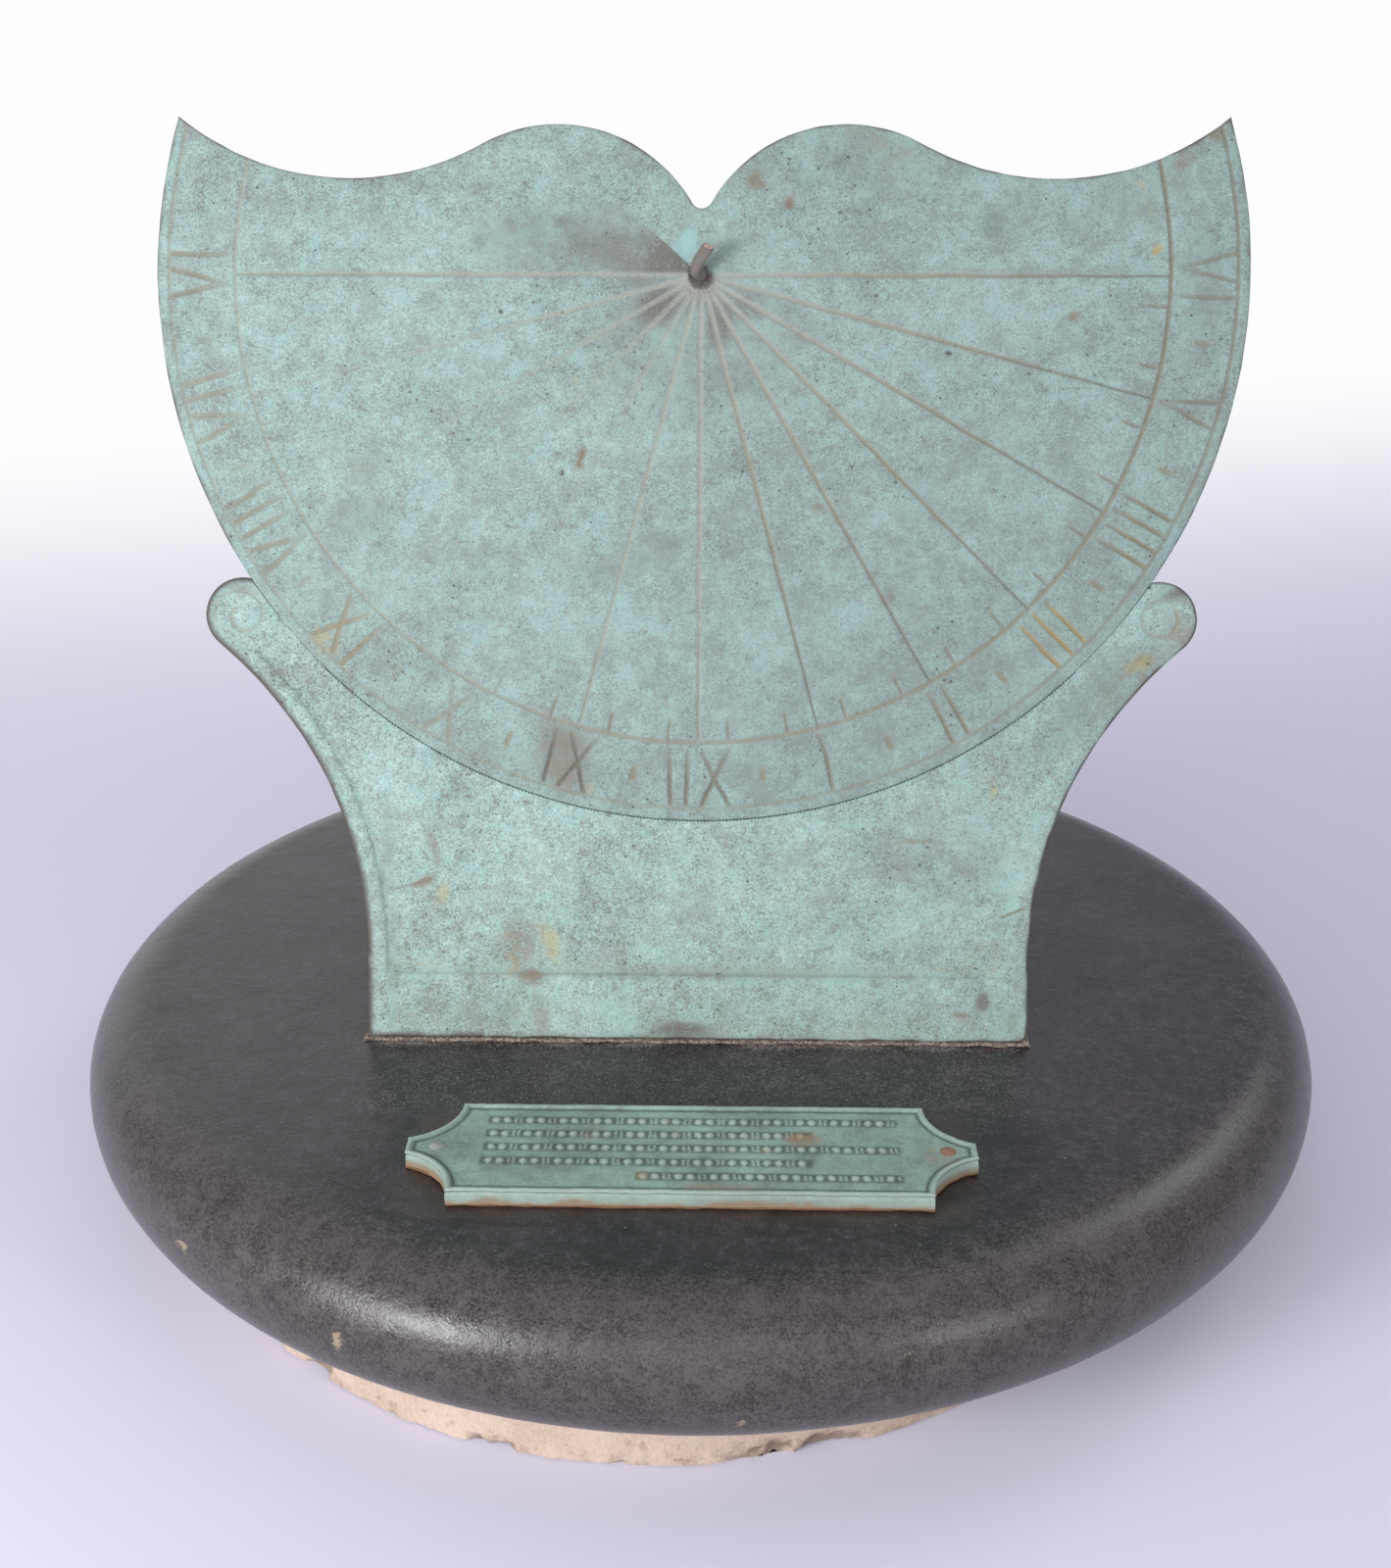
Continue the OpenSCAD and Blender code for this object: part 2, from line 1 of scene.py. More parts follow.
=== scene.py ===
"""Bronze sundial on a round stone base: its visible pieces, finishes, light and camera."""
import itertools
import math
from functools import partial
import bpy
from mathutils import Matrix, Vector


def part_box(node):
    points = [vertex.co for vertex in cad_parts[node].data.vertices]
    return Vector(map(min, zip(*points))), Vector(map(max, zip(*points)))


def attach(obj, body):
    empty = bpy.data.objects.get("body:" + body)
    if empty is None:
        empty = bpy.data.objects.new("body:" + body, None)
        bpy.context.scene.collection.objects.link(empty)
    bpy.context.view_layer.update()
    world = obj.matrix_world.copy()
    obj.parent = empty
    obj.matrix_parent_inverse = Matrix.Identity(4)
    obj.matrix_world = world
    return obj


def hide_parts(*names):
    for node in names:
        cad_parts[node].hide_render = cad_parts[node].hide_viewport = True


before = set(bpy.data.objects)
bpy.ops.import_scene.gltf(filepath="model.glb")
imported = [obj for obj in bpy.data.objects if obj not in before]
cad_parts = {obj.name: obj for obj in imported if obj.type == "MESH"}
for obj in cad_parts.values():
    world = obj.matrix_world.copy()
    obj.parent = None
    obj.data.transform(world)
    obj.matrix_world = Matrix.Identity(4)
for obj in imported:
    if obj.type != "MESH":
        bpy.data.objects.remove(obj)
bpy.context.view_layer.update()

from types import SimpleNamespace

import bmesh
import bpy
import numpy as np
from bpy.props import FloatProperty, FloatVectorProperty, PointerProperty
from mathutils import Matrix, Vector, geometry, kdtree

bl_info = {
    "name": "Bronze Sundial",
    "version": (1, 0, 0),
    "blender": (4, 5, 0),
    "location": "3D View > Sidebar > Sundial",
    "description": "Builds the visible pieces of a bronze sundial around its frame",
    "category": "Add Mesh",
}

MM = 0.001


# ---- values

def linear(text):
    """Linear colour with full alpha from an sRGB hex value."""
    parts = [int(text[i:i + 2], 16) / 255 for i in (1, 3, 5)]
    return (*(p / 12.92 if p <= 0.04045 else ((p + 0.055) / 1.055) ** 2.4 for p in parts), 1)


def length(name, description, value, low=0.1, high=400):
    """A length property. Its default and its limits are given in millimetres."""
    return FloatProperty(name=name, description=description, default=value * MM,
                         min=low * MM, max=high * MM, unit="LENGTH", precision=5)


def colour(name, description, value):
    """A colour property. Its default is given as an sRGB hex value."""
    return FloatVectorProperty(name=name, description=description, default=linear(value),
                               size=4, min=0, max=1, subtype="COLOR")


def angle(name, description, value):
    """An angle property. Its default is given in degrees."""
    return FloatProperty(name=name, description=description, default=math.radians(value),
                         subtype="ANGLE")


def in_mm(group):
    """The values of a property group, with its lengths in millimetres."""
    values = {}
    for name in group.__annotations__:
        unit = group.bl_rna.properties[name].unit
        values[name] = getattr(group, name) * (1000 if unit == "LENGTH" else 1)
    return SimpleNamespace(**values)


class BaseSizes(bpy.types.PropertyGroup):
    """Sizes of the slab and of what is under it"""
    slab_diameter: length("Slab diameter", "Diameter of the round slab", 365)
    slab_thickness: length("Slab thickness", "Thickness of the slab, the height of its full-round edge", 40)
    slab_bottom: length("Slab underside", "Height of the slab's underside", 26)
    foot_diameter: length("Foot diameter", "Diameter of the foot stone", 280)
    foot_height: length("Foot height", "Height of the foot stone", 24)
    foot_left: length("Foot left", "How far the foot stone sits left of the slab's axis", 9)
    foot_front: length("Foot front", "How far the foot stone sits in front of the slab's axis", 12)
    foot_raggedness: length("Foot raggedness", "Deepest bite out of the foot stone's lower edge", 3.2)


class StandSizes(bpy.types.PropertyGroup):
    """Sizes of the leaning stand"""
    lean: angle("Lean", "Angle by which stand and dial lean back", 19.3)
    front: length("Stand front", "Distance from the slab's axis to the stand's face, on the slab", 55.5)
    bed: length("Resin thickness", "Thickness of the resin under the stand", 1)
    bed_rim: length("Resin rim", "How far the resin shows round the metal", 2)
    width: length("Stand width", "Width of the stand at its foot", 185)
    thickness: length("Stand thickness", "Thickness of the stand's plain field", 7)
    side_radius: length("Hollow side", "Radius of the stand's hollow sides", 113)
    volute_x: length("Volute place", "Distance from the centre line to a volute's centre", 127)
    volute_down: length("Volute height", "Distance from the six o'clock line down to a volute's centre", 93.5)
    volute_radius: length("Volute radius", "Radius of a volute", 10.5)
    border: length("Border", "Width of the raised border along the hollow sides", 5.5)
    band: length("Foot band", "Height of the raised band along the foot", 19)
    relief: length("Relief", "How far border, band, volutes and dial stand proud", 1)
    lap: length("Lap", "Width of the lap that backs the dial", 38)
    angle_reach: length("Angle reach", "Depth from the stand's face to the flange's back edge", 31)


class DialSizes(bpy.types.PropertyGroup):
    """Sizes of the leaf-shaped dial and its engraving"""
    radius: length("Dial radius", "Radius of the dial's round edge", 150)
    thickness: length("Dial thickness", "Thickness of the dial", 5)
    up: length("Dial centre", "Distance from the slab up the face to the dial's centre", 212.5)
    shoulder_x: length("Shoulder place", "Distance from the centre line to a shoulder's top", 39.6)
    shoulder_up: length("Shoulder height", "Height of a shoulder over the six o'clock line", 40.8)
    shoulder_radius: length("Shoulder radius", "Radius of a shoulder", 43)
    hollow_x: length("Hollow place", "Distance from the centre line to a hollow's lowest point", 96.5)
    hollow_up: length("Hollow height", "Height of a hollow over the six o'clock line", 26.2)
    notch_radius: length("Notch radius", "Radius at the bottom of the notch", 3)
    chapter_inset: length("Inner circle", "Distance from the edge to the circle inside the numerals", 21.7)
    rim_inset: length("Outer circle", "Distance from the edge to the circle outside the numerals", 3.4)
    hour_start: length("Hour line start", "Radius at which the hour lines start", 4.8)
    groove_width: length("Groove width", "Width of an hour line at its root", 2.1)
    groove_depth: length("Groove depth", "Depth of an hour line", 0.45)
    stroke_width: length("Stroke width", "Width of a numeral's stroke", 1.8)
    stroke_depth: length("Stroke depth", "Depth of a numeral's stroke", 0.55)
    numeral_foot: length("Numeral foot", "Distance from the inner circle to the numerals", 2.5)
    numeral_head: length("Numeral head", "Distance from the numerals to the outer circle", 1.2)
    tick: length("Tick", "Length of a quarter-hour tick", 5.5)
    mesh_step: length("Mesh step", "Spacing of the points on the plain metal", 1.7)


class GnomonSizes(bpy.types.PropertyGroup):
    """Sizes of the bent rod that casts the shadow"""
    diameter: length("Rod diameter", "Diameter of the rod", 3)
    bend: angle("Bend", "Angle by which the rod bends up", 50)
    bend_radius: length("Bend radius", "Radius of the bend on the rod's axis", 5)
    neck: length("Neck", "Straight length between dial and bend", 1)
    tip: length("Tip", "Length of straight rod past the bend", 5.8)
    turn: angle("Turn", "Angle by which the bent rod turns to the right", 12)
    sway: length("Rod sway", "How far the hand-bent rod bulges to the left", 1.8)
    washer_thickness: length("Washer thickness", "Thickness of the washer behind the dial", 1.2)


class PlaqueSizes(bpy.types.PropertyGroup):
    """Sizes of the small plaque and its ornament rows"""
    width: length("Plaque length", "Length from tip to tip", 144)
    depth: length("Plaque depth", "Depth from front to back", 39.4)
    edge: length("Straight edge", "Length of the straight edges", 119.5)
    thickness: length("Plaque thickness", "Thickness without the raised rim", 4)
    front: length("Plaque place", "Distance from the slab's axis forward to the plaque's middle", 116.3)
    corner_radius: length("Corner radius", "Radius of the hollow corners", 17)
    rim: length("Rim", "Width of the raised rim", 1.2)
    relief: length("Relief", "Height of the rim and of the ornament rows", 0.5)
    mastic: length("Mastic", "Thickness of the mastic under the plaque", 0.5)
    row_step: length("Row step", "Distance between ornament rows", 6.2)
    row_height: length("Row height", "Height of an ornament row", 2.6)
    bead_step: length("Bead step", "Distance between neighbouring beads", 2.9)
    pin_span: length("Pin span", "Distance between the two pins", 129)
    pin_head: length("Pin head", "Diameter of the pins' heads", 4)
    pin_dome: length("Pin dome", "Height of the pins' heads", 0.7)


class Colours(bpy.types.PropertyGroup):
    """Colours of the finishes"""
    patina_pale: colour("Patina, pale", "Chalky bloom on the bronze", "#bedcd6")
    patina_blue: colour("Patina, turquoise", "Clean patina of the bronze", "#b0cec8")
    patina_grey: colour("Patina, grey", "Mean colour of the patina", "#a2b8b3")
    patina_dark: colour("Patina, dark", "Thin and dirty patina", "#879690")
    warm: colour("Patina, warm", "Patches that lean to a warm grey", "#999f9e")
    green: colour("Patina, green", "Patches that lean to a clean green", "#9ac5bf")
    # The grime tint also lays painted shade on the right of dial and stand
    grime: colour("Grime", "Grey-green film on the dial", "#808e8c")
    # The smudge tint also paints the rod's shadow beside its root
    smudge: colour("Smudge", "Dark dirt round the gnomon's root", "#736e68")
    brown: colour("Brown stain", "Brown stains and bare spots", "#887a6b")
    bright: colour("Bright patina", "Clean turquoise patch", "#9fc9c3")
    ochre: colour("Ochre", "Yellow stains", "#b3a46c")
    infill_pale: colour("Groove, pale", "Lime in the worn lines", "#a6aaa0")
    infill_tan: colour("Groove, tan", "Tan dirt in the lines", "#918974")
    infill_dark: colour("Groove, dark", "Dark dirt in the lines", "#6a655f")
    arris: colour("Arris", "Bare purple-brown metal on edges", "#5d5553")
    stone: colour("Dark stone", "Honed dark stone", "#27252c")
    # The worn tint also paints a reflection of the bright room on the front of the rim
    stone_pale: colour("Dark stone, worn", "Worn grit of the dark stone", "#605b57")
    stone_brown: colour("Dark stone, stained", "Brown haze on the dark stone", "#4d3f37")
    sandstone: colour("Sandstone", "Rubbed sandstone", "#d8c3b2")
    # The weathered tint also paints shade along the foot stone's top, under the slab
    sandstone_dark: colour("Sandstone, weathered", "Dirt in the sandstone's grain", "#8f7f72")
    plaque: colour("Plaque", "Grey-green patina of the plaque", "#849890")
    plaque_pale: colour("Plaque, raised", "Rubbed tops of the plaque's relief", "#b0beb5")
    plaque_dark: colour("Plaque, recessed", "Dirt in the plaque's recesses", "#454c47")
    floor: colour("Floor", "Pale floor", "#e9e6f7")


# ---- noise and outlines

PRIMES = (73856093, 19349663, 83492791)
# Height of a triangle with sides of 1, and how far a grid point is out of line, as a share of the step
TRIANGLE, GRID_PLAY = 0.866, 0.16


def grain(points, size, seed=0):
    """Smooth noise from -1 to 1 at points, with bumps about size across."""
    cell = np.floor(points / size).astype(np.int64)
    part = points / size - cell
    part = part * part * (3 - 2 * part)
    total = np.zeros(len(points))
    for corner in itertools.product((0, 1), repeat=points.shape[1]):
        key = np.full(len(points), (seed + 1) * 2654435, np.int64)
        weight = np.ones(len(points))
        for axis, step in enumerate(corner):
            key = key ^ ((cell[:, axis] + step + 4096) * PRIMES[axis])
            weight = weight * (part[:, axis] if step else 1 - part[:, axis])
        key = (key ^ (key >> 13)) * 1274126177 & 0x7FFFFFFF
        key = (key ^ (key >> 15)) * 668265263 & 0x7FFFFFFF
        total += weight * ((key >> 8 & 0xFFFF) / 0xFFFF)
    return 2 * total - 1


def rough(points, size, seed=0, octaves=3):
    """Noise with finer noise on it."""
    return sum(grain(points, size / 2.1 ** i, seed + i) / 2 ** i for i in range(octaves))


def smooth_step(low, high, value):
    """0 below low, 1 above high, smooth between them. It falls where low is the larger."""
    part = np.clip((value - low) / (high - low), 0, 1)
    return part * part * (3 - 2 * part)


def line(start, end, step):
    """Points every step or so on a line, with both ends."""
    start, end = np.array(start, float), np.array(end, float)
    count = max(1, math.ceil(np.linalg.norm(end - start) / step))
    return start + (end - start) * np.linspace(0, 1, count + 1)[:, None]


def arc(centre, radius, start, end, step):
    """Points every step or so on an arc between two directions in degrees, with both ends."""
    count = max(2, math.ceil(abs(math.radians(end - start)) * radius / step))
    turn = np.radians(np.linspace(start, end, count + 1))
    return np.array(centre) + radius * np.stack((np.cos(turn), np.sin(turn)), axis=1)


def closed(*runs):
    """An anticlockwise loop of runs of points that meet end to end."""
    loop = np.concatenate([run[:-1] for run in runs])
    after = np.roll(loop, -1, 0)
    area = (loop[:, 0] * after[:, 1] - loop[:, 1] * after[:, 0]).sum()
    return loop if area > 0 else loop[::-1]


def mirrored(run):
    """The same run on the other side, in the opposite order."""
    return (run * (-1, 1))[::-1]


def inward(loop):
    """Unit vectors into an anticlockwise loop."""
    ahead = np.roll(loop, -1, 0) - np.roll(loop, 1, 0)
    ahead = ahead / np.linalg.norm(ahead, axis=1, keepdims=True)
    return np.stack((-ahead[:, 1], ahead[:, 0]), axis=1)


def inside(points, loop):
    """Which points lie inside a loop."""
    result = np.zeros(len(points), bool)
    x, y = points.T
    for (ax, ay), (bx, by) in zip(loop, np.roll(loop, -1, 0)):
        if ay != by:
            result ^= ((ay > y) != (by > y)) & (x < (bx - ax) * (y - ay) / (by - ay) + ax)
    return result


def nearest(points, others):
    """Distance from each point to the nearest of the others."""
    tree = kdtree.KDTree(len(others))
    for index, (x, y) in enumerate(others):
        tree.insert((x, y, 0), index)
    tree.balance()
    return np.array([tree.find((x, y, 0))[2] for x, y in points])


def staggered(loop, step):
    """Points inside a loop on a staggered grid, a little out of line."""
    (left, low), (right, high) = loop.min(0), loop.max(0)
    rows = []
    for number, level in enumerate(np.arange(low, high, step * TRIANGLE)):
        across = np.arange(left + (number % 2) * step / 2, right, step)
        rows.append(np.column_stack((across, np.full(len(across), level))))
    grid = np.concatenate(rows)
    shift = np.stack((grain(grid, step * 0.7, 5), grain(grid, step * 0.7, 9)), axis=1)
    grid = grid + GRID_PLAY * step * shift
    return grid[inside(grid, loop)]


def meeting(first, second):
    """The lower point where two circles (x, y, r) meet."""
    (ax, ay, ar), (bx, by, br) = first, second
    gap = math.hypot(bx - ax, by - ay)
    along = (gap * gap + ar * ar - br * br) / (2 * gap)
    across = math.sqrt(ar * ar - along * along)
    ux, uy = (bx - ax) / gap, (by - ay) / gap
    points = [(ax + ux * along - s * uy * across, ay + uy * along + s * ux * across) for s in (1, -1)]
    return min(points, key=lambda point: point[1])


def ways(hour):
    """Unit vectors at an hour of the dial: along its circles and outwards. Noon points down."""
    turn = math.radians(180 + 15 * hour)
    return np.array((math.cos(turn), math.sin(turn))), np.array((-math.sin(turn), math.cos(turn)))


def heading(centre, point):
    """Direction in degrees from a centre to a point."""
    return math.degrees(math.atan2(point[1] - centre[1], point[0] - centre[0]))


# ---- engraved marks

def ribbon(path, offsets, step):
    """Rows of points beside a straight or round path, at distances from it."""
    ahead = np.gradient(path, axis=0)
    ahead = ahead / np.linalg.norm(ahead, axis=1, keepdims=True)
    side = np.stack((-ahead[:, 1], ahead[:, 0]), axis=1)
    ends = np.array([path[0] - ahead[0] * step * 0.5, path[-1] + ahead[-1] * step * 0.5])
    return np.concatenate([path + side * offset for offset in offsets] + [ends])


class Groove:
    """A cut along a path: how wide and deep it is, and the colour of the dirt in it."""

    def __init__(self, path, width, depth, tone=0.4, ochre=0.0, fade=(1, 1), wobble=0.12,
                 narrow=1.0, seed=0):
        play = np.stack((grain(path, 6, 31 + seed), grain(path, 6, 47 + seed)), axis=1)
        self.path = path + wobble * play
        self.half, self.depth, self.narrow = width / 2, depth, narrow
        self.tone = tone if isinstance(tone, tuple) else (tone, tone)
        self.ochre, self.fade = ochre, fade

    def rows(self):
        """Points that follow the cut closely enough to draw its walls."""
        half, foot = self.half, 0.45 * self.half
        return ribbon(self.path, (-half - 0.28, -half, -foot, 0, foot, half, half + 0.28), half)

    def reach(self, points):
        """How far each point is from the cut's middle, and how far along the cut it is."""
        best = np.full(len(points), 1e9)
        along = np.zeros(len(points))
        done = 0.0
        for start, end in zip(self.path, self.path[1:]):
            span = end - start
            size = np.linalg.norm(span)
            part = np.clip(((points - start) @ span) / (size * size), 0, 1)
            gap = np.linalg.norm(points - start - part[:, None] * span, axis=1)
            along = np.where(gap < best, done + part * size, along)
            best = np.minimum(best, gap)
            done += size
        return best, along / max(done, 1e-9)


def cut(points, grooves):
    """Depth, groove, tone and ochre masks at points, from all grooves."""
    depth, mask, tone, ochre = (np.zeros(len(points)) for _ in range(4))
    for groove in grooves:
        box_low, box_high = groove.path.min(0) - 3, groove.path.max(0) + 3
        near = np.nonzero(((points > box_low) & (points < box_high)).all(1))[0]
        if not len(near):
            continue
        gap, along = groove.reach(points[near])
        shape = np.clip(1 - gap / (groove.half * (1 + (groove.narrow - 1) * along)), 0, 1)
        strength = np.interp(along, np.linspace(0, 1, len(groove.fade)), groove.fade)
        here = np.minimum(1, shape * 2.2) * strength
        stronger = here > mask[near]
        start, end = groove.tone
        tone[near] = np.where(stronger, start + (end - start) * along, tone[near])
        ochre[near] = np.where(stronger, groove.ochre, ochre[near])
        mask[near] = np.maximum(mask[near], here)
        depth[near] = np.maximum(depth[near], groove.depth * shape ** 0.8 * strength)
    return depth, mask, tone, ochre


def blot(points, spots):
    """Soft mask of spots: (x, y, half width, half height, turn in degrees, strength)."""
    mask = np.zeros(len(points))
    for x, y, wide, high, turn, strength in spots:
        c, s = math.cos(math.radians(turn)), math.sin(math.radians(turn))
        dx, dy = points[:, 0] - x, points[:, 1] - y
        reach = np.hypot((dx * c + dy * s) / wide, (dy * c - dx * s) / high)
        mask = np.maximum(mask, strength * smooth_step(1.5, 0.35, reach))
    return mask


def patina(stained, flat, front, grooves, bare, smudge, grime_and_shade_film):
    """The colour attributes that the verdigris reads, from a piece's cuts and tables of stains."""
    _, mask, tone, ochre = cut(flat, grooves)
    yellow = np.maximum(ochre * mask, blot(flat, stained.OCHRE)) * front
    stains = np.stack((blot(flat, stained.BROWN), smudge, blot(flat, stained.BRIGHT),
                       np.maximum(blot(flat, stained.GRIME), grime_and_shade_film)), axis=1)
    stains[~front] *= 0.4
    return {"marks": np.stack((mask * front, tone, yellow, bare), axis=1), "stains": stains}


def dimples(points, pits):
    """Depth of round pits: (x, y, radius, depth)."""
    depth = np.zeros(len(points))
    for x, y, radius, deep in pits:
        reach = np.hypot(points[:, 0] - x, points[:, 1] - y) / radius
        depth = np.maximum(depth, deep * smooth_step(1.05, 0.25, reach))
    return depth


def scattered(draw, count, *ranges):
    """Small round pits at random: the ranges of x, y, radius and depth."""
    return list(zip(*[draw.uniform(low, high, count) for low, high in ranges]))


def pit_points(pits):
    """Points that draw round pits."""
    return np.concatenate([np.array([(x, y)]) if part == 0 else
                           arc((x, y), radius * part, 0, 360, radius * 0.9)[:-1]
                           for x, y, radius, _ in pits for part in (0, 0.55, 1.1)])


# ---- shells

# Flat map of a plate for the bake: the front below, the walls in a strip, the back at half its scale
MAP_EDGE, MAP_WIDE, MAP_HIGH, MAP_STRIP, STRIP_HIGH, MAP_BACK = 0.01, 0.98, 0.62, 0.64, 0.02, 0.67


def filled(points, ring, loop):
    """Triangles over points inside a loop: the point behind each corner, the corners on the
    ring, and the triangles."""
    _, _, faces, origin, _, _ = geometry.delaunay_2d_cdt(
        [Vector(point) for point in points], ring, [], 0, 1e-5, True)
    source = np.array([ids[0] for ids in origin])
    corner = {int(i): n for n, i in enumerate(source)}
    middle = points[source][np.array(faces)].mean(1)
    return (source, np.array([corner[i] for i in range(len(ring))]),
            [tuple(face) for face, keep in zip(faces, inside(middle, loop)) if keep])


def plate(loop, height, back, place, name, material, slot, node, rows=(), step=1.7, back_step=7.0,
          ease=0.6, wall=((0.25, 0), (0.5, 0), (0.75, 0)), sway=0.06, paint=None):
    """A closed shell over a flat outline: a shaped front, walls and a back.

    height gives the front's height at points, wall the rows between front and back as (share of
    the way, how far in), and paint the colour attributes from points and part (0 front, 1 wall,
    2 back)."""
    count = len(loop)
    normal = inward(loop)
    ring = [(i, (i + 1) % count) for i in range(count)]
    # Close rows along the outline round its edge over
    fine, drop = [loop], [np.full(count, ease)]
    for offset in (ease * share for share in (0.22, 0.6, 1.0)):
        row = loop + normal * offset
        row = row[nearest(row, loop) > offset * 0.86]
        fine.append(row)
        drop.append(np.full(len(row), ease - math.sqrt(max(0, ease ** 2 - (ease - offset) ** 2))))
    edge = np.concatenate(fine)
    if len(rows):
        rows = np.concatenate(rows)
        rows = rows[inside(rows, loop)]
        rows = rows[nearest(rows, edge) > 0.3]
        # One point is kept of those that fall within 0.22 mm
        _, keep = np.unique(np.round(rows / 0.22).astype(int), axis=0, return_index=True)
        rows = rows[np.sort(keep)]
    else:
        rows = np.zeros((0, 2))
    fill = staggered(loop, step)
    fill = fill[nearest(fill, np.concatenate((edge, rows))) > step * 0.55]
    flat = np.concatenate((edge, rows, fill))
    lowered = np.concatenate(drop + [np.zeros(len(rows) + len(fill))])
    source, front_loop, faces = filled(flat, ring, loop)
    front = flat[source]
    front_w = height(front) - lowered[source]

    # The back has the same outline, drawn in a little
    shy = loop + normal * 0.4
    shy = np.where((nearest(shy, loop) > 0.3)[:, None], shy, loop)
    rear = staggered(shy, back_step)
    rear = np.concatenate((shy, rear[nearest(rear, shy) > back_step * 0.5]))
    rear_source, rear_loop, rear_faces = filled(rear, ring, shy)
    rear = rear[rear_source]

    points, part = [np.column_stack((front, front_w))], [np.zeros(len(front))]
    wall_rows = [front_loop]
    size = len(front)
    for share, inset in (*wall, (0.96, 0)):
        w = front_w[front_loop] * (1 - share) + back * share
        play = sway * grain(np.column_stack((loop, w)), 3.5, 71)
        points.append(np.column_stack((loop + normal * inset + normal * play[:, None], w)))
        part.append(np.ones(count))
        wall_rows.append(np.arange(size, size + count))
        size += count
    wall_rows.append(rear_loop + size)
    points.append(np.column_stack((rear, back + 0.08 * grain(rear, 14, 15))))
    part.append(np.full(len(rear), 2))
    points, part = np.concatenate(points), np.concatenate(part)
    triangles = faces + [tuple(int(i) + size for i in reversed(face)) for face in rear_faces]

    low, high = loop.min(0), loop.max(0)
    scale = min(MAP_WIDE / (high[0] - low[0]), MAP_HIGH / (high[1] - low[1]))
    corners = []
    for number, face in enumerate(triangles):
        for u, v in ((points[i, :2] - low) * scale for i in face):
            corners.append((MAP_EDGE + u, MAP_EDGE + v) if number < len(faces)
                           else (MAP_EDGE + u / 2, MAP_BACK + v / 2))
    quads = []
    around = np.linspace(0, 1, count + 1)
    levels = len(wall_rows) - 1
    for depth, (upper, lower) in enumerate(zip(wall_rows, wall_rows[1:])):
        top, foot = (MAP_STRIP + STRIP_HIGH * k / levels for k in (depth, depth + 1))
        for i, j in ring:
            quads.append((int(upper[i]), int(lower[i]), int(lower[j]), int(upper[j])))
            start, end = around[i], around[i + 1]
            corners += [(start, top), (start, foot), (end, foot), (end, top)]
    colours = paint(points, part) if paint else {}
    shell(name, place(points), triangles + quads, material, slot, node, colours, corners)


def finished(name, mesh, material, node, colours, corners=None, crease=50):
    """Makes a mesh a piece, with its colour attributes, map, material and body, and hides the frame node that
    it stands for."""
    for key, values in colours.items():
        attribute = mesh.color_attributes.new(name=key, type="FLOAT_COLOR", domain="POINT")
        attribute.data.foreach_set("color", np.asarray(values, np.float32).ravel())
    if corners is not None:
        layer = mesh.uv_layers.new(name="OFBake")
        layer.data.foreach_set("uv", np.asarray(corners, np.float32).ravel())
    mesh.shade_smooth()
    mesh.set_sharp_from_angle(angle=math.radians(crease))
    mesh.materials.append(material)
    piece = bpy.data.objects.new(name, mesh)
    bpy.context.scene.collection.objects.link(piece)
    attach(piece, "root")
    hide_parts(node)


def shell(name, points, faces, material, slot, node, colours={}, corners=None, crease=50):
    """A piece from points in millimetres and faces."""
    mesh = bpy.data.meshes.new(name)
    mesh.from_pydata((np.asarray(points) * MM).tolist(), [], faces)
    finished(name, mesh, material, node, colours, corners, crease)


def tube_faces(rings, around):
    """Faces of a tube of rings with so many points each, closed at both ends."""
    last = (rings - 1) * around
    return [(k * around + i, k * around + (i + 1) % around,
             (k + 1) * around + (i + 1) % around, (k + 1) * around + i)
            for k in range(rings - 1) for i in range(around)] + [
                tuple(range(around))[::-1], tuple(last + i for i in range(around))]


def directions(count):
    """So many directions in radians, all the way round."""
    return np.linspace(0, 2 * math.pi, count, endpoint=False)


def level_ring(radius, spin, height):
    """A ring of points about the upright axis."""
    return np.column_stack((radius * np.cos(spin), radius * np.sin(spin), height + 0 * spin))


def turned(profile, segments, centre=(0, 0)):
    """Points and faces of a closed turned shape: a profile of (radius, height), from axis to axis."""
    rings = [level_ring(radius, directions(segments), height) for radius, height in profile[1:-1]]
    poles = [(0, 0, profile[0][1]), (0, 0, profile[-1][1])]
    points = np.concatenate((*rings, poles)) + (*centre, 0)
    faces = []
    low, levels = len(points) - 2, len(rings)
    for i in range(segments):
        j = (i + 1) % segments
        faces.append((low, j, i))
        faces.append((low + 1, (levels - 1) * segments + i, (levels - 1) * segments + j))
        faces += [(k * segments + i, k * segments + j, (k + 1) * segments + j, (k + 1) * segments + i)
                  for k in range(levels - 1)]
    return points, faces


def merged(shapes):
    """One set of points and faces from several."""
    points, faces, start = [], [], 0
    for some, more in shapes:
        points.append(some)
        faces += [tuple(i + start for i in face) for face in more]
        start += len(some)
    return np.concatenate(points), faces


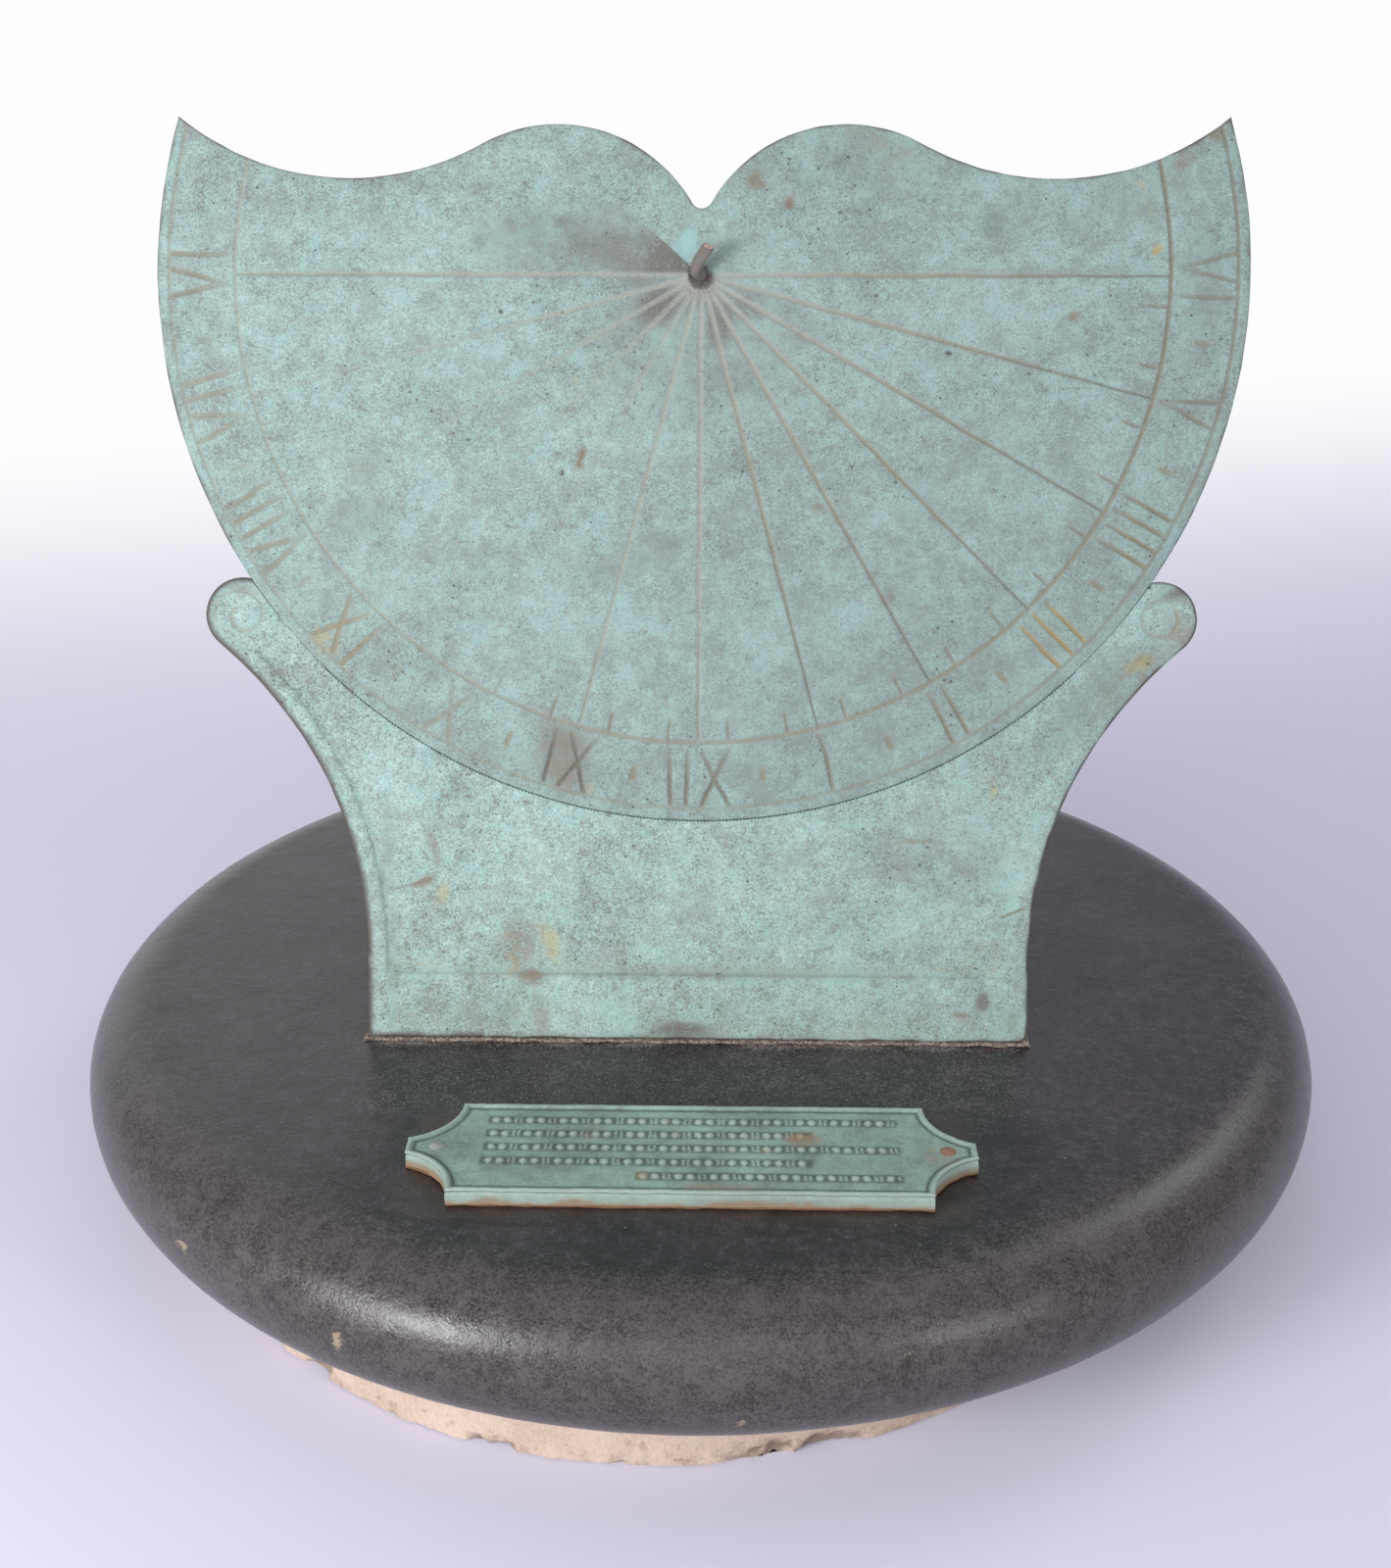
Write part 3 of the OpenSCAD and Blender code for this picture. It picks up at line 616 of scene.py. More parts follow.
def eased_copy(node, name, material, width):
    """A piece from a frame node's solid with eased edges, evenly stained."""
    mesh = bpy.data.meshes.new(name)
    shape = bmesh.new()
    shape.from_mesh(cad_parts[node].data)
    bmesh.ops.remove_doubles(shape, verts=shape.verts, dist=0.002 * MM)
    bmesh.ops.dissolve_limit(shape, angle_limit=math.radians(0.8), verts=shape.verts, edges=shape.edges)
    sharp = [edge for edge in shape.edges if len(edge.link_faces) == 2
             and edge.calc_face_angle(0) > math.radians(35)]
    bmesh.ops.bevel(shape, geom=sharp, offset=width * MM, segments=2, profile=0.6,
                    affect="EDGES", clamp_overlap=True)
    bmesh.ops.triangulate(shape, faces=[face for face in shape.faces if len(face.verts) > 4])
    shape.to_mesh(mesh)
    shape.free()
    even = {key: np.tile(value, (len(mesh.vertices), 1))
            for key, value in (("marks", (0, 0, 0, 0.1)), ("stains", (0, 0.25, 0, 0.3)))}
    finished(name, mesh, material, node, even, crease=40)


# ---- finishes

def add(tree, kind, links=None, stops=None, **settings):
    """Adds a shader node with its settings. links gives sockets a value, or an output to follow."""
    made = tree.nodes.new("ShaderNode" + kind)
    for key, value in settings.items():
        setattr(made, key, value)
    for key, value in (links or {}).items():
        socket = made.inputs[key] if isinstance(key, int) else next(
            s for s in made.inputs if s.enabled and s.name == key)
        if isinstance(value, bpy.types.Node):
            value = next(s for s in value.outputs if s.enabled)
        if isinstance(value, bpy.types.NodeSocket):
            tree.links.new(value, socket)
        else:
            socket.default_value = value
    if stops:
        points = made.color_ramp.elements
        while len(points) < len(stops):
            points.new(0.5)
        for point, (position, value) in zip(points, stops):
            point.position, point.color = position, value
    return made


def surface(name, nodes, *values):
    """The one material of that name, with new nodes. nodes adds them and returns the shader."""
    material = bpy.data.materials.get(name) or bpy.data.materials.new(name)
    material.use_nodes = True
    material.node_tree.nodes.clear()
    n = partial(add, material.node_tree)
    n("OutputMaterial", {"Surface": nodes(n, n("TexCoord").outputs["Object"], *values)})
    return material


def every(size):
    """Texture scale at which a pattern repeats about every size millimetres."""
    return 1 / (size * MM)


def verdigris(n, place, colours):
    """Cast bronze under a chalky copper-salt patina. The eye gets a matt skin that flickers
    between turquoise and brown-grey, dark pits, dirt in every line and worn brown arrises."""
    marks, stains = (n("Attribute", attribute_name=name) for name in ("marks", "stains"))
    mark, stain = (n("SeparateColor", {"Color": source.outputs["Color"]}) for source in (marks, stains))
    # The patina is uneven at every size, from 30 mm clouds to its crust of about 0.5 mm
    cloud, hue, blotch, crust = (
        n("TexNoise", {"Vector": place, "Scale": every(size), "Detail": detail, "Roughness": harsh})
        for size, detail, harsh in ((30, 4, 0.72), (12, 7, 0.85), (5, 3, 0.9), (0.65, 1, 1.0)))
    level = -1.33
    for noise, weight in ((cloud, 0.85), (blotch, 1.2), (crust, 1.6)):
        level = n("Math", {0: noise, 1: weight, 2: level}, operation="MULTIPLY_ADD")
    toned = n("ValToRGB", {"Fac": level}, stops=[
        (0.0, linear("#77766f")), (0.22, colours.patina_dark), (0.5, colours.patina_grey),
        (0.75, colours.patina_blue), (1.0, colours.patina_pale)])

    def broken(mask, gain, texture=blotch, spread=1.8):
        """The mask, eaten into by the texture."""
        lifted = n("Math", {0: texture, 1: spread, 2: -0.5 * spread}, operation="MULTIPLY_ADD")
        both = n("Math", {0: lifted, 1: mask})
        edge = n("MapRange", {"Value": both, "From Min": 0.1, "From Max": 0.7})
        held = n("Math", {0: edge, 1: mask}, operation="MULTIPLY")
        return n("Math", {0: held, 1: gain}, operation="MULTIPLY", use_clamp=True)

    # Patches that lean to a warm grey and to a clean green, and a grey-green layer on both: grime, and
    # painted shade that grows to the right
    warm = n("MapRange", {"Value": hue, "From Min": 0.51, "From Max": 0.62, "To Max": 0.55})
    green = n("MapRange", {"Value": hue, "From Min": 0.48, "From Max": 0.41, "To Max": 0.45})
    uneven = n("Math", {0: hue, 1: 3.0, 2: -0.5}, operation="MULTIPLY_ADD")
    grime_and_shade_mix = n("Math", {0: stains.outputs["Alpha"], 1: uneven}, operation="MULTIPLY", use_clamp=True)
    # Dark pits in cells of 2 mm, more of them where the patina is thin
    pit = n("TexVoronoi", {"Vector": place, "Scale": every(2.0)})
    chance = n("SeparateColor", {"Color": pit.outputs["Color"]})
    thin = n("Math", {0: cloud, 1: -1.2, 2: 0.6}, operation="MULTIPLY_ADD")
    chance = n("Math", {0: chance.outputs["Red"], 1: thin})
    radius = n("MapRange", {"Value": chance, "From Min": 0.66, "From Max": 1.1, "To Max": 0.24})
    inner = n("Math", {0: radius, 1: pit.outputs["Distance"]}, operation="SUBTRACT")
    pits = n("MapRange", {"Value": inner, "From Min": 0, "From Max": 0.06, "To Max": 0.8})
    # Lime and dirt in the cuts
    infill = n("ValToRGB", {"Fac": mark.outputs["Green"]}, stops=[
        (0, colours.infill_pale), (0.5, colours.infill_tan), (1, colours.infill_dark)])
    gritty = n("MapRange", {"Value": crust, "From Min": 0.35, "From Max": 0.6, "To Min": 0.4, "To Max": 1.0})
    in_groove = n("Math", {0: mark.outputs["Red"], 1: gritty}, operation="MULTIPLY", use_clamp=True)
    for factor, tint in ((warm, colours.warm), (green, colours.green), (grime_and_shade_mix, colours.grime),
                         (broken(mark.outputs["Blue"], 1.1, spread=3.2), colours.ochre),
                         (broken(stain.outputs["Blue"], 0.9, spread=1), colours.bright),
                         (broken(stain.outputs["Green"], 1.1, crust, 3.2), colours.smudge),
                         (broken(stain.outputs["Red"], 1.15, spread=3.2), colours.brown),
                         (pits, colours.arris), (in_groove, infill),
                         (broken(marks.outputs["Alpha"], 1.0), colours.arris)):
        toned = n("Mix", {"Factor": factor, "A": toned, "B": tint}, data_type="RGBA")
    sheen = n("MapRange", {"Value": crust, "From Min": 0.3, "From Max": 0.7, "To Min": 0.6, "To Max": 0.85})
    bumpy = n("Math", {0: blotch, 1: 0.8, 2: crust}, operation="MULTIPLY_ADD")
    pitted = n("Math", {0: pits, 1: -0.7, 2: bumpy}, operation="MULTIPLY_ADD")
    bump = n("Bump", {"Height": pitted, "Strength": 0.8, "Distance": 0.3 * MM})
    return n("BsdfPrincipled", {"Base Color": toned, "Roughness": sheen, "Metallic": 0.0,
                                "Specular IOR Level": 0.35, "Normal": bump})


def honed_stone(n, place, colours):
    """Dark basalt, honed, oiled and much handled. The eye gets a charcoal skin with a soft gloss, brown haze
    near the metal and pale grit where the rim is rubbed; on the front of the rim the pale is also a painted
    reflection."""
    wear = n("Attribute", attribute_name="wear")
    part = n("SeparateColor", {"Color": wear.outputs["Color"]})
    haze, mottle, grit = (
        n("TexNoise", {"Vector": place, "Scale": every(size), "Detail": detail, "Roughness": harsh})
        for size, detail, harsh in ((30, 4, 0.8), (6, 3, 1.0), (0.6, 2, 0.9)))
    level = -1.6
    for noise, weight in ((haze, 0.9), (mottle, 1.9), (grit, 1.4)):
        level = n("Math", {0: noise, 1: weight, 2: level}, operation="MULTIPLY_ADD")
    toned = n("ValToRGB", {"Fac": level}, stops=[
        (0.15, linear("#17151a")), (0.5, colours.stone), (0.85, linear("#46424b"))])
    brown = n("Math", {0: haze, 1: 1.6, 2: -0.3}, operation="MULTIPLY_ADD", use_clamp=True)
    brown = n("Math", {0: part.outputs["Green"], 1: brown}, operation="MULTIPLY", use_clamp=True)
    # Rubbed pale grit; on the front of the rim the pale also stands for a painted reflection of the bright
    # room
    rubbed = -0.65
    for source, weight in ((mottle, 1.3), (grit, 3.3), (part.outputs["Red"], 1.4)):
        rubbed = n("Math", {0: source, 1: weight, 2: rubbed}, operation="MULTIPLY_ADD")
    rubbed = n("MapRange", {"Value": rubbed, "From Min": 2.15, "From Max": 3.3, "To Max": 0.85})
    # White specks in about a fifth of the cells of 5 mm
    speck = n("TexVoronoi", {"Vector": place, "Scale": every(5)})
    chance = n("SeparateColor", {"Color": speck.outputs["Color"]})
    radius = n("MapRange", {"Value": chance.outputs["Red"], "From Min": 0.8, "To Max": 0.07})
    inner = n("Math", {0: radius, 1: speck.outputs["Distance"]}, operation="SUBTRACT")
    specks = n("MapRange", {"Value": inner, "From Min": 0, "From Max": 0.02, "To Max": 0.6})
    # White dust along the foot of the plate, and beige stone bared in the chips
    dust = n("Math", {0: grit, 1: 3.0, 2: -1.5}, operation="MULTIPLY_ADD")
    dust = n("Math", {0: wear.outputs["Alpha"], 1: dust})
    dust = n("MapRange", {"Value": dust, "From Min": 0.55, "From Max": 1.2, "To Max": 0.7})
    chips = n("Math", {0: grit, 1: 1.6, 2: -0.8}, operation="MULTIPLY_ADD")
    chips = n("Math", {0: part.outputs["Blue"], 1: chips})
    chips = n("MapRange", {"Value": chips, "From Min": 0.35, "From Max": 0.6})
    for factor, tint in ((brown, colours.stone_brown), (rubbed, colours.stone_pale),
                         (specks, linear("#b9b2a8")), (dust, linear("#a39d97")), (chips, linear("#9c8c78"))):
        toned = n("Mix", {"Factor": factor, "A": toned, "B": tint}, data_type="RGBA")
    gloss = n("Math", {0: mottle, 1: 0.4, 2: 0.01}, operation="MULTIPLY_ADD")
    gloss = n("Math", {0: rubbed, 1: 0.15, 2: gloss}, operation="MULTIPLY_ADD")
    relief = n("Math", {0: mottle, 1: 2.6, 2: grit}, operation="MULTIPLY_ADD")
    bump = n("Bump", {"Height": relief, "Strength": 0.7, "Distance": 0.11 * MM})
    return n("BsdfPrincipled", {"Base Color": toned, "Roughness": gloss, "Metallic": 0.0, "Normal": bump})


def sandstone(n, place, colours):
    """Warm fine-grained sandstone, rubbed smooth above and broken below. The eye gets beige
    grains, rusty spots and dark dirt in the broken lower edge."""
    wear = n("Attribute", attribute_name="wear")
    part = n("SeparateColor", {"Color": wear.outputs["Color"]})
    bed, spots, grit = (
        n("TexNoise", {"Vector": place, "Scale": every(size), "Detail": detail, "Roughness": harsh})
        for size, detail, harsh in ((18, 4, 0.6), (3, 3, 0.7), (0.9, 2, 0.7)))
    level = 0.0
    for noise in (bed, grit):
        level = n("Math", {0: noise, 1: 0.5, 2: level}, operation="MULTIPLY_ADD")
    toned = n("ValToRGB", {"Fac": level}, stops=[
        (0.25, linear("#b69f8c")), (0.5, colours.sandstone), (0.8, linear("#e8d8c9"))])
    rust = n("MapRange", {"Value": spots, "From Min": 0.58, "From Max": 0.72, "To Max": 0.55})
    # Dirt in the broken lower edge, and painted shade along the top under the slab, from the wear attribute
    dirt = n("Math", {0: spots, 1: 1.3, 2: -0.65}, operation="MULTIPLY_ADD")
    dirt = n("Math", {0: dirt, 1: part.outputs["Red"]})
    dirt = n("MapRange", {"Value": dirt, "From Min": 0.25, "From Max": 0.9, "To Max": 0.85})
    for factor, tint in ((rust, linear("#b08a6a")), (dirt, colours.sandstone_dark)):
        toned = n("Mix", {"Factor": factor, "A": toned, "B": tint}, data_type="RGBA")
    relief = n("Math", {0: spots, 1: 1.0, 2: grit}, operation="MULTIPLY_ADD")
    bump = n("Bump", {"Height": relief, "Strength": 0.7, "Distance": 0.35 * MM})
    return n("BsdfPrincipled", {"Base Color": toned, "Roughness": 0.92, "Metallic": 0.0,
                                "Specular IOR Level": 0.3, "Normal": bump})


def plaque_bronze(n, place, colours):
    """Cast bronze plaque with a grey-green patina, rubbed on its relief. The eye gets pale
    tops, dirty recesses and an edge that runs from turquoise to rusty tan at the stone."""
    marks = n("Attribute", attribute_name="marks")
    mark = n("SeparateColor", {"Color": marks.outputs["Color"]})
    cloud, blotch, crust = (
        n("TexNoise", {"Vector": place, "Scale": every(size), "Detail": detail, "Roughness": harsh})
        for size, detail, harsh in ((16, 4, 0.6), (3, 3, 0.65), (0.8, 2, 0.7)))
    level = -0.35
    for noise, weight in ((cloud, 0.9), (blotch, 0.5), (crust, 0.5)):
        level = n("Math", {0: noise, 1: weight, 2: level}, operation="MULTIPLY_ADD")
    toned = n("ValToRGB", {"Fac": level}, stops=[
        (0.2, linear("#5f6a64")), (0.5, colours.plaque), (0.8, linear("#9ebdb3"))])
    low = n("Math", {0: mark.outputs["Green"], 1: 0.9}, operation="MULTIPLY", use_clamp=True)
    high = n("Math", {0: mark.outputs["Red"], 1: 0.75}, operation="MULTIPLY", use_clamp=True)
    spoiled = n("Math", {0: blotch, 1: 1.3, 2: -0.65}, operation="MULTIPLY_ADD")
    spoiled = n("Math", {0: spoiled, 1: mark.outputs["Blue"]})
    tan = n("MapRange", {"Value": spoiled, "From Min": 0.2, "From Max": 0.85, "To Max": 0.9})
    # A dark line in the groove round the side wall, broken by the blotches
    worn = n("Math", {0: marks.outputs["Alpha"], 1: blotch}, operation="MULTIPLY")
    worn = n("MapRange", {"Value": worn, "From Min": 0.2, "From Max": 0.55})
    for factor, tint in ((low, colours.plaque_dark), (high, colours.plaque_pale),
                         (tan, linear("#9d846b")), (worn, linear("#4a4a44"))):
        toned = n("Mix", {"Factor": factor, "A": toned, "B": tint}, data_type="RGBA")
    relief = n("Math", {0: blotch, 1: 0.6, 2: crust}, operation="MULTIPLY_ADD")
    bump = n("Bump", {"Height": relief, "Strength": 0.4, "Distance": 0.2 * MM})
    return n("BsdfPrincipled", {"Base Color": toned, "Roughness": 0.62, "Metallic": 0.0,
                                "Specular IOR Level": 0.4, "Normal": bump})


def worn_metal(n, place, dull, fresh, metal, gloss, share=0.45, size=2.5):
    """Turned or drawn metal, dulled in the open air. The eye gets the dull skin, broken by
    rubbed places where the metal itself shows."""
    wear = n("Attribute", attribute_name="marks")
    part = n("SeparateColor", {"Color": wear.outputs["Color"]})
    patch = n("TexNoise", {"Vector": place, "Scale": every(size), "Detail": 4, "Roughness": 0.65})
    fine = n("TexNoise", {"Vector": place, "Scale": every(0.5), "Detail": 2, "Roughness": 0.7})
    rubbed = n("MapRange", {"Value": patch, "From Min": 0.75 - share / 2, "From Max": 0.95 - share / 2})
    rubbed = n("Math", {0: rubbed, 1: part.outputs["Red"]}, operation="MAXIMUM")
    base = n("Mix", {"Factor": rubbed, "A": linear(dull), "B": linear(fresh)}, data_type="RGBA")
    shade = n("MapRange", {"Value": fine, "To Min": 0.78, "To Max": 1.15})
    toned = n("Mix", {"Factor": 1.0, "A": base, "B": shade}, data_type="RGBA", blend_type="MULTIPLY")
    shine = n("Math", {0: rubbed, 1: metal}, operation="MULTIPLY", use_clamp=True)
    smooth = n("MapRange", {"Value": rubbed, "To Min": 0.75, "To Max": gloss})
    bump = n("Bump", {"Height": fine, "Strength": 0.35, "Distance": 0.12 * MM})
    return n("BsdfPrincipled", {"Base Color": toned, "Metallic": shine, "Roughness": smooth,
                                "Normal": bump})


def cast_bronze(context):
    """The finish of dial, stand and angle."""
    return surface("Cast bronze, verdigris patina", verdigris, context.scene.sundial_colours)


def fixing_bronze():
    """Turned bronze fixings. The eye gets a dull green-brown with rubbed corners."""
    return surface("Bronze fixings, weathered", worn_metal, "#6f7c70", "#97835c", 0.8, 0.38, 0.5, 3)


def gritty_filler(n, place, dark, pale, grit, share):
    """Filler squeezed out of a joint. The eye gets a dull crust with dust and stone grit on it."""
    patch = n("TexNoise", {"Vector": place, "Scale": every(5), "Detail": 4, "Roughness": 0.65})
    fine = n("TexNoise", {"Vector": place, "Scale": every(0.8), "Detail": 2, "Roughness": 0.8})
    base = n("Mix", {"Factor": patch, "A": linear(dark), "B": linear(pale)}, data_type="RGBA")
    dust = n("MapRange", {"Value": fine, "From Min": 0.75 - share, "From Max": 0.9 - share, "To Max": 0.8})
    toned = n("Mix", {"Factor": dust, "A": base, "B": linear(grit)}, data_type="RGBA")
    bump = n("Bump", {"Height": fine, "Strength": 0.8, "Distance": 0.25 * MM})
    return n("BsdfPrincipled", {"Base Color": toned, "Roughness": 0.8, "Normal": bump})


# ---- places

def sizes(context):
    """All size groups in millimetres."""
    scene = context.scene
    return SimpleNamespace(base=in_mm(scene.sundial_base), stand=in_mm(scene.sundial_stand),
                           dial=in_mm(scene.sundial_dial), gnomon=in_mm(scene.sundial_gnomon),
                           plaque=in_mm(scene.sundial_plaque))


def slab_top(size):
    """Height of the slab's top."""
    return size.base.slab_bottom + size.base.slab_thickness


def on_face(size):
    """Function that places points (across, up from the dial's centre, out) on the leaning face."""
    c, s = math.cos(size.stand.lean), math.sin(size.stand.lean)
    foot = size.stand.bed / c - size.dial.up

    def place(points):
        u, v, w = points.T
        # The foot of the plate is cut level with the resin
        level = np.clip(1 - (v - foot) / 20, 0, 1)
        up = v + size.dial.up - w * (s / c) * level
        return np.stack((u, -size.stand.front + up * s - w * c, slab_top(size) + up * c + w * s), axis=1)

    return place


def dial_loop(dial, step):
    """Outline of the dial: round below, with a notch, two shoulders and two hollows above."""
    shoulder = (dial.shoulder_x, dial.shoulder_up - dial.shoulder_radius)
    dx, dy = dial.hollow_x - shoulder[0], dial.hollow_up - shoulder[1]
    hollow_r = (dx * dx + dy * dy - dial.shoulder_radius ** 2) / (2 * (dial.shoulder_radius - dy))
    hollow = (dial.hollow_x, dial.hollow_up + hollow_r)
    rise = math.sqrt((dial.shoulder_radius + dial.notch_radius) ** 2 - dial.shoulder_x ** 2)
    notch = (0, shoulder[1] + rise)
    notch_end = heading(notch, shoulder)
    shoulder_end = heading(shoulder, hollow)
    tip = meeting((*hollow, hollow_r), (0, 0, dial.radius))
    right = np.concatenate((
        arc(notch, dial.notch_radius, -90, notch_end, step * 0.5),
        arc(shoulder, dial.shoulder_radius, notch_end + 180, shoulder_end, step)[1:],
        arc(hollow, hollow_r, shoulder_end + 180, heading(hollow, tip) % 360, step)[1:]))
    turn = heading((0, 0), tip)
    round_edge = arc((0, 0), dial.radius, turn, turn - 180 - 2 * turn, step)
    return closed(right, round_edge, mirrored(right))


def roomy(loop, amount, seed):
    """The loop with a hand-finished edge, uneven by amount."""
    shift = amount * (0.6 * grain(loop, 17, seed) + 0.4 * grain(loop, 4, seed + 1)) - amount * 0.4
    return loop + inward(loop) * -shift[:, None]


# ---- operators

class SUNDIAL_OT_stage(bpy.types.Operator):
    """Adds the floor, the lights and the camera"""
    bl_idname = "sundial.stage"
    bl_label = "Stage"

    # The paper in metres: where it starts in front, where it turns up far behind the sundial, the
    # radius of that bend, its top and half its width
    START, BEND_AT, BEND, TOP, HALF_WIDTH = -3.0, 2.2, 1.2, 4.5, 5
    # Soft boxes, the key at the front left and weak ones at the front right and behind, large
    # ones in front and overhead: direction and height in degrees, distance, width, power
    LAMPS = (("key", -131, 11, 0.85, 0.26, 4.3), ("fill", -48, 12, 1.1, 0.18, 1.4),
             ("front", -90, 24, 1.3, 0.9, 3.2), ("back", 30, 40, 1.3, 0.5, 2.0),
             ("top", -90, 84, 1.7, 1.3, 1.2))
    LAMP_AIM = (0, -0.02, 0.12)
    # Strength of the world's light, and what the camera sees past the paper's edges
    WORLD_LIGHT, WORLD_SEEN = 0.42, 1.0
    # Camera: place in millimetres, pitch, yaw and roll in degrees, focal length and picture width
    # in pixels, sensor width in millimetres
    CAMERA_PLACE = (10.634, -542.297, 348.634)
    CAMERA_TURNS = (22.73, -1.271, -0.068)
    FOCAL_LENGTH, PICTURE_WIDTH, SENSOR_WIDTH = 2027.478, 1419, 36

    def execute(self, context):
        scene = context.scene
        scene.view_settings.view_transform = "Standard"
        self.paper(scene)
        self.lights(scene)
        self.camera(scene)
        return {"FINISHED"}

    def paper(self, scene):
        """Pale floor that sweeps up into a white backdrop."""
        bend = arc((self.BEND_AT, self.BEND), self.BEND, -90, 0, 0.1)
        profile = np.concatenate((line((self.START, 0), (self.BEND_AT, 0), 0.2)[:-1], bend,
                                  [(self.BEND_AT + self.BEND, self.TOP)]))
        across = np.linspace(-self.HALF_WIDTH, self.HALF_WIDTH, 11)
        wide = len(across)
        faces = [(i * wide + j, i * wide + j + 1, (i + 1) * wide + j + 1, (i + 1) * wide + j)
                 for i in range(len(profile) - 1) for j in range(wide - 1)]
        mesh = bpy.data.meshes.new("floor")
        mesh.from_pydata([(x, y, z) for y, z in profile for x in across], [], faces)
        mesh.shade_smooth()
        mesh.materials.append(surface("Matt paper sweep", self.matt_paper, scene.sundial_colours.floor))
        floor = bpy.data.objects.new("floor", mesh)
        scene.collection.objects.link(floor)

    @staticmethod
    def matt_paper(n, place, tint):
        """Matt paper. The camera sees its far part white, later to the right as painted shade; in the stone's
        gloss it is dimmer to the right.
        """
        part = n("SeparateXYZ", {"Vector": place})
        # Painted shade: the far glow begins later to the right
        depth_shaded_right = n("Math", {0: part.outputs["X"], 1: -0.3, 2: part.outputs["Y"]}, operation="MULTIPLY_ADD")
        far = n("MapRange", {"Value": depth_shaded_right, "From Min": -0.1, "From Max": 1.2},
                interpolation_type="SMOOTHERSTEP")
        matt = n("BsdfDiffuse", {"Color": tint, "Roughness": 0.5})
        white = n("Mix", {"Factor": far, "A": linear("#dddcf3"), "B": linear("#fdfdff")}, data_type="RGBA")
        glow = n("Emission", {"Color": white, "Strength": 1.0})
        path = n("LightPath")
        dimmer = n("MapRange", {"Value": part.outputs["X"], "From Min": -1.0, "From Max": 1.5,
                                "To Min": 0.9, "To Max": 0.15})
        seen = n("Math", {0: path.outputs["Is Glossy Ray"], 1: dimmer, 2: path.outputs["Is Camera Ray"]},
                 operation="MULTIPLY_ADD", use_clamp=True)
        share = n("Math", {0: far, 1: seen}, operation="MULTIPLY", use_clamp=True)
        return n("MixShader", {0: share, 1: matt, 2: glow})

    def lights(self, scene):
        """Weak even light from the world, and the soft boxes."""
        world = bpy.data.worlds.new("Studio")
        scene.world = world
        world.use_nodes = True
        n = partial(add, world.node_tree)
        sky = world.node_tree.nodes["Background"]
        level = n("Math", {0: n("LightPath").outputs["Is Camera Ray"], 1: self.WORLD_SEEN - self.WORLD_LIGHT,
                           2: self.WORLD_LIGHT}, operation="MULTIPLY_ADD")
        world.node_tree.links.new(level.outputs[0], sky.inputs["Strength"])
        sky.inputs["Color"].default_value = linear("#fbfbff")
        aim = Vector(self.LAMP_AIM)
        for name, side, lift, far, wide, power in self.LAMPS:
            lamp = bpy.data.lights.new(name, "AREA")
            lamp.shape, lamp.size, lamp.energy = "SQUARE", wide, power
            way, up = math.radians(side), math.radians(lift)
            spot = aim + far * Vector((math.cos(way) * math.cos(up), math.sin(way) * math.cos(up),
                                       math.sin(up)))
            light = bpy.data.objects.new(name, lamp)
            light.location = spot
            light.rotation_euler = (aim - spot).to_track_quat("-Z", "Y").to_euler()
            scene.collection.objects.link(light)

    def camera(self, scene):
        """Camera at the photograph's place."""
        pitch, yaw, roll = (math.radians(value) for value in self.CAMERA_TURNS)
        ahead = Vector((math.sin(yaw) * math.cos(pitch), math.cos(yaw) * math.cos(pitch), -math.sin(pitch)))
        right = Vector((math.cos(yaw), -math.sin(yaw), 0))
        up = right.cross(ahead)
        side = math.cos(roll) * right + math.sin(roll) * up
        top = math.cos(roll) * up - math.sin(roll) * right
        data = bpy.data.cameras.new("camera")
        data.sensor_fit, data.sensor_width = "HORIZONTAL", self.SENSOR_WIDTH
        data.lens = self.SENSOR_WIDTH * self.FOCAL_LENGTH / self.PICTURE_WIDTH
        data.clip_start = 0.01
        camera = bpy.data.objects.new("camera", data)
        camera.matrix_world = Matrix.Translation(Vector(self.CAMERA_PLACE) * MM) @ Matrix(
            (side, top, -ahead)).transposed().to_4x4()
        scene.collection.objects.link(camera)
        scene.camera = camera


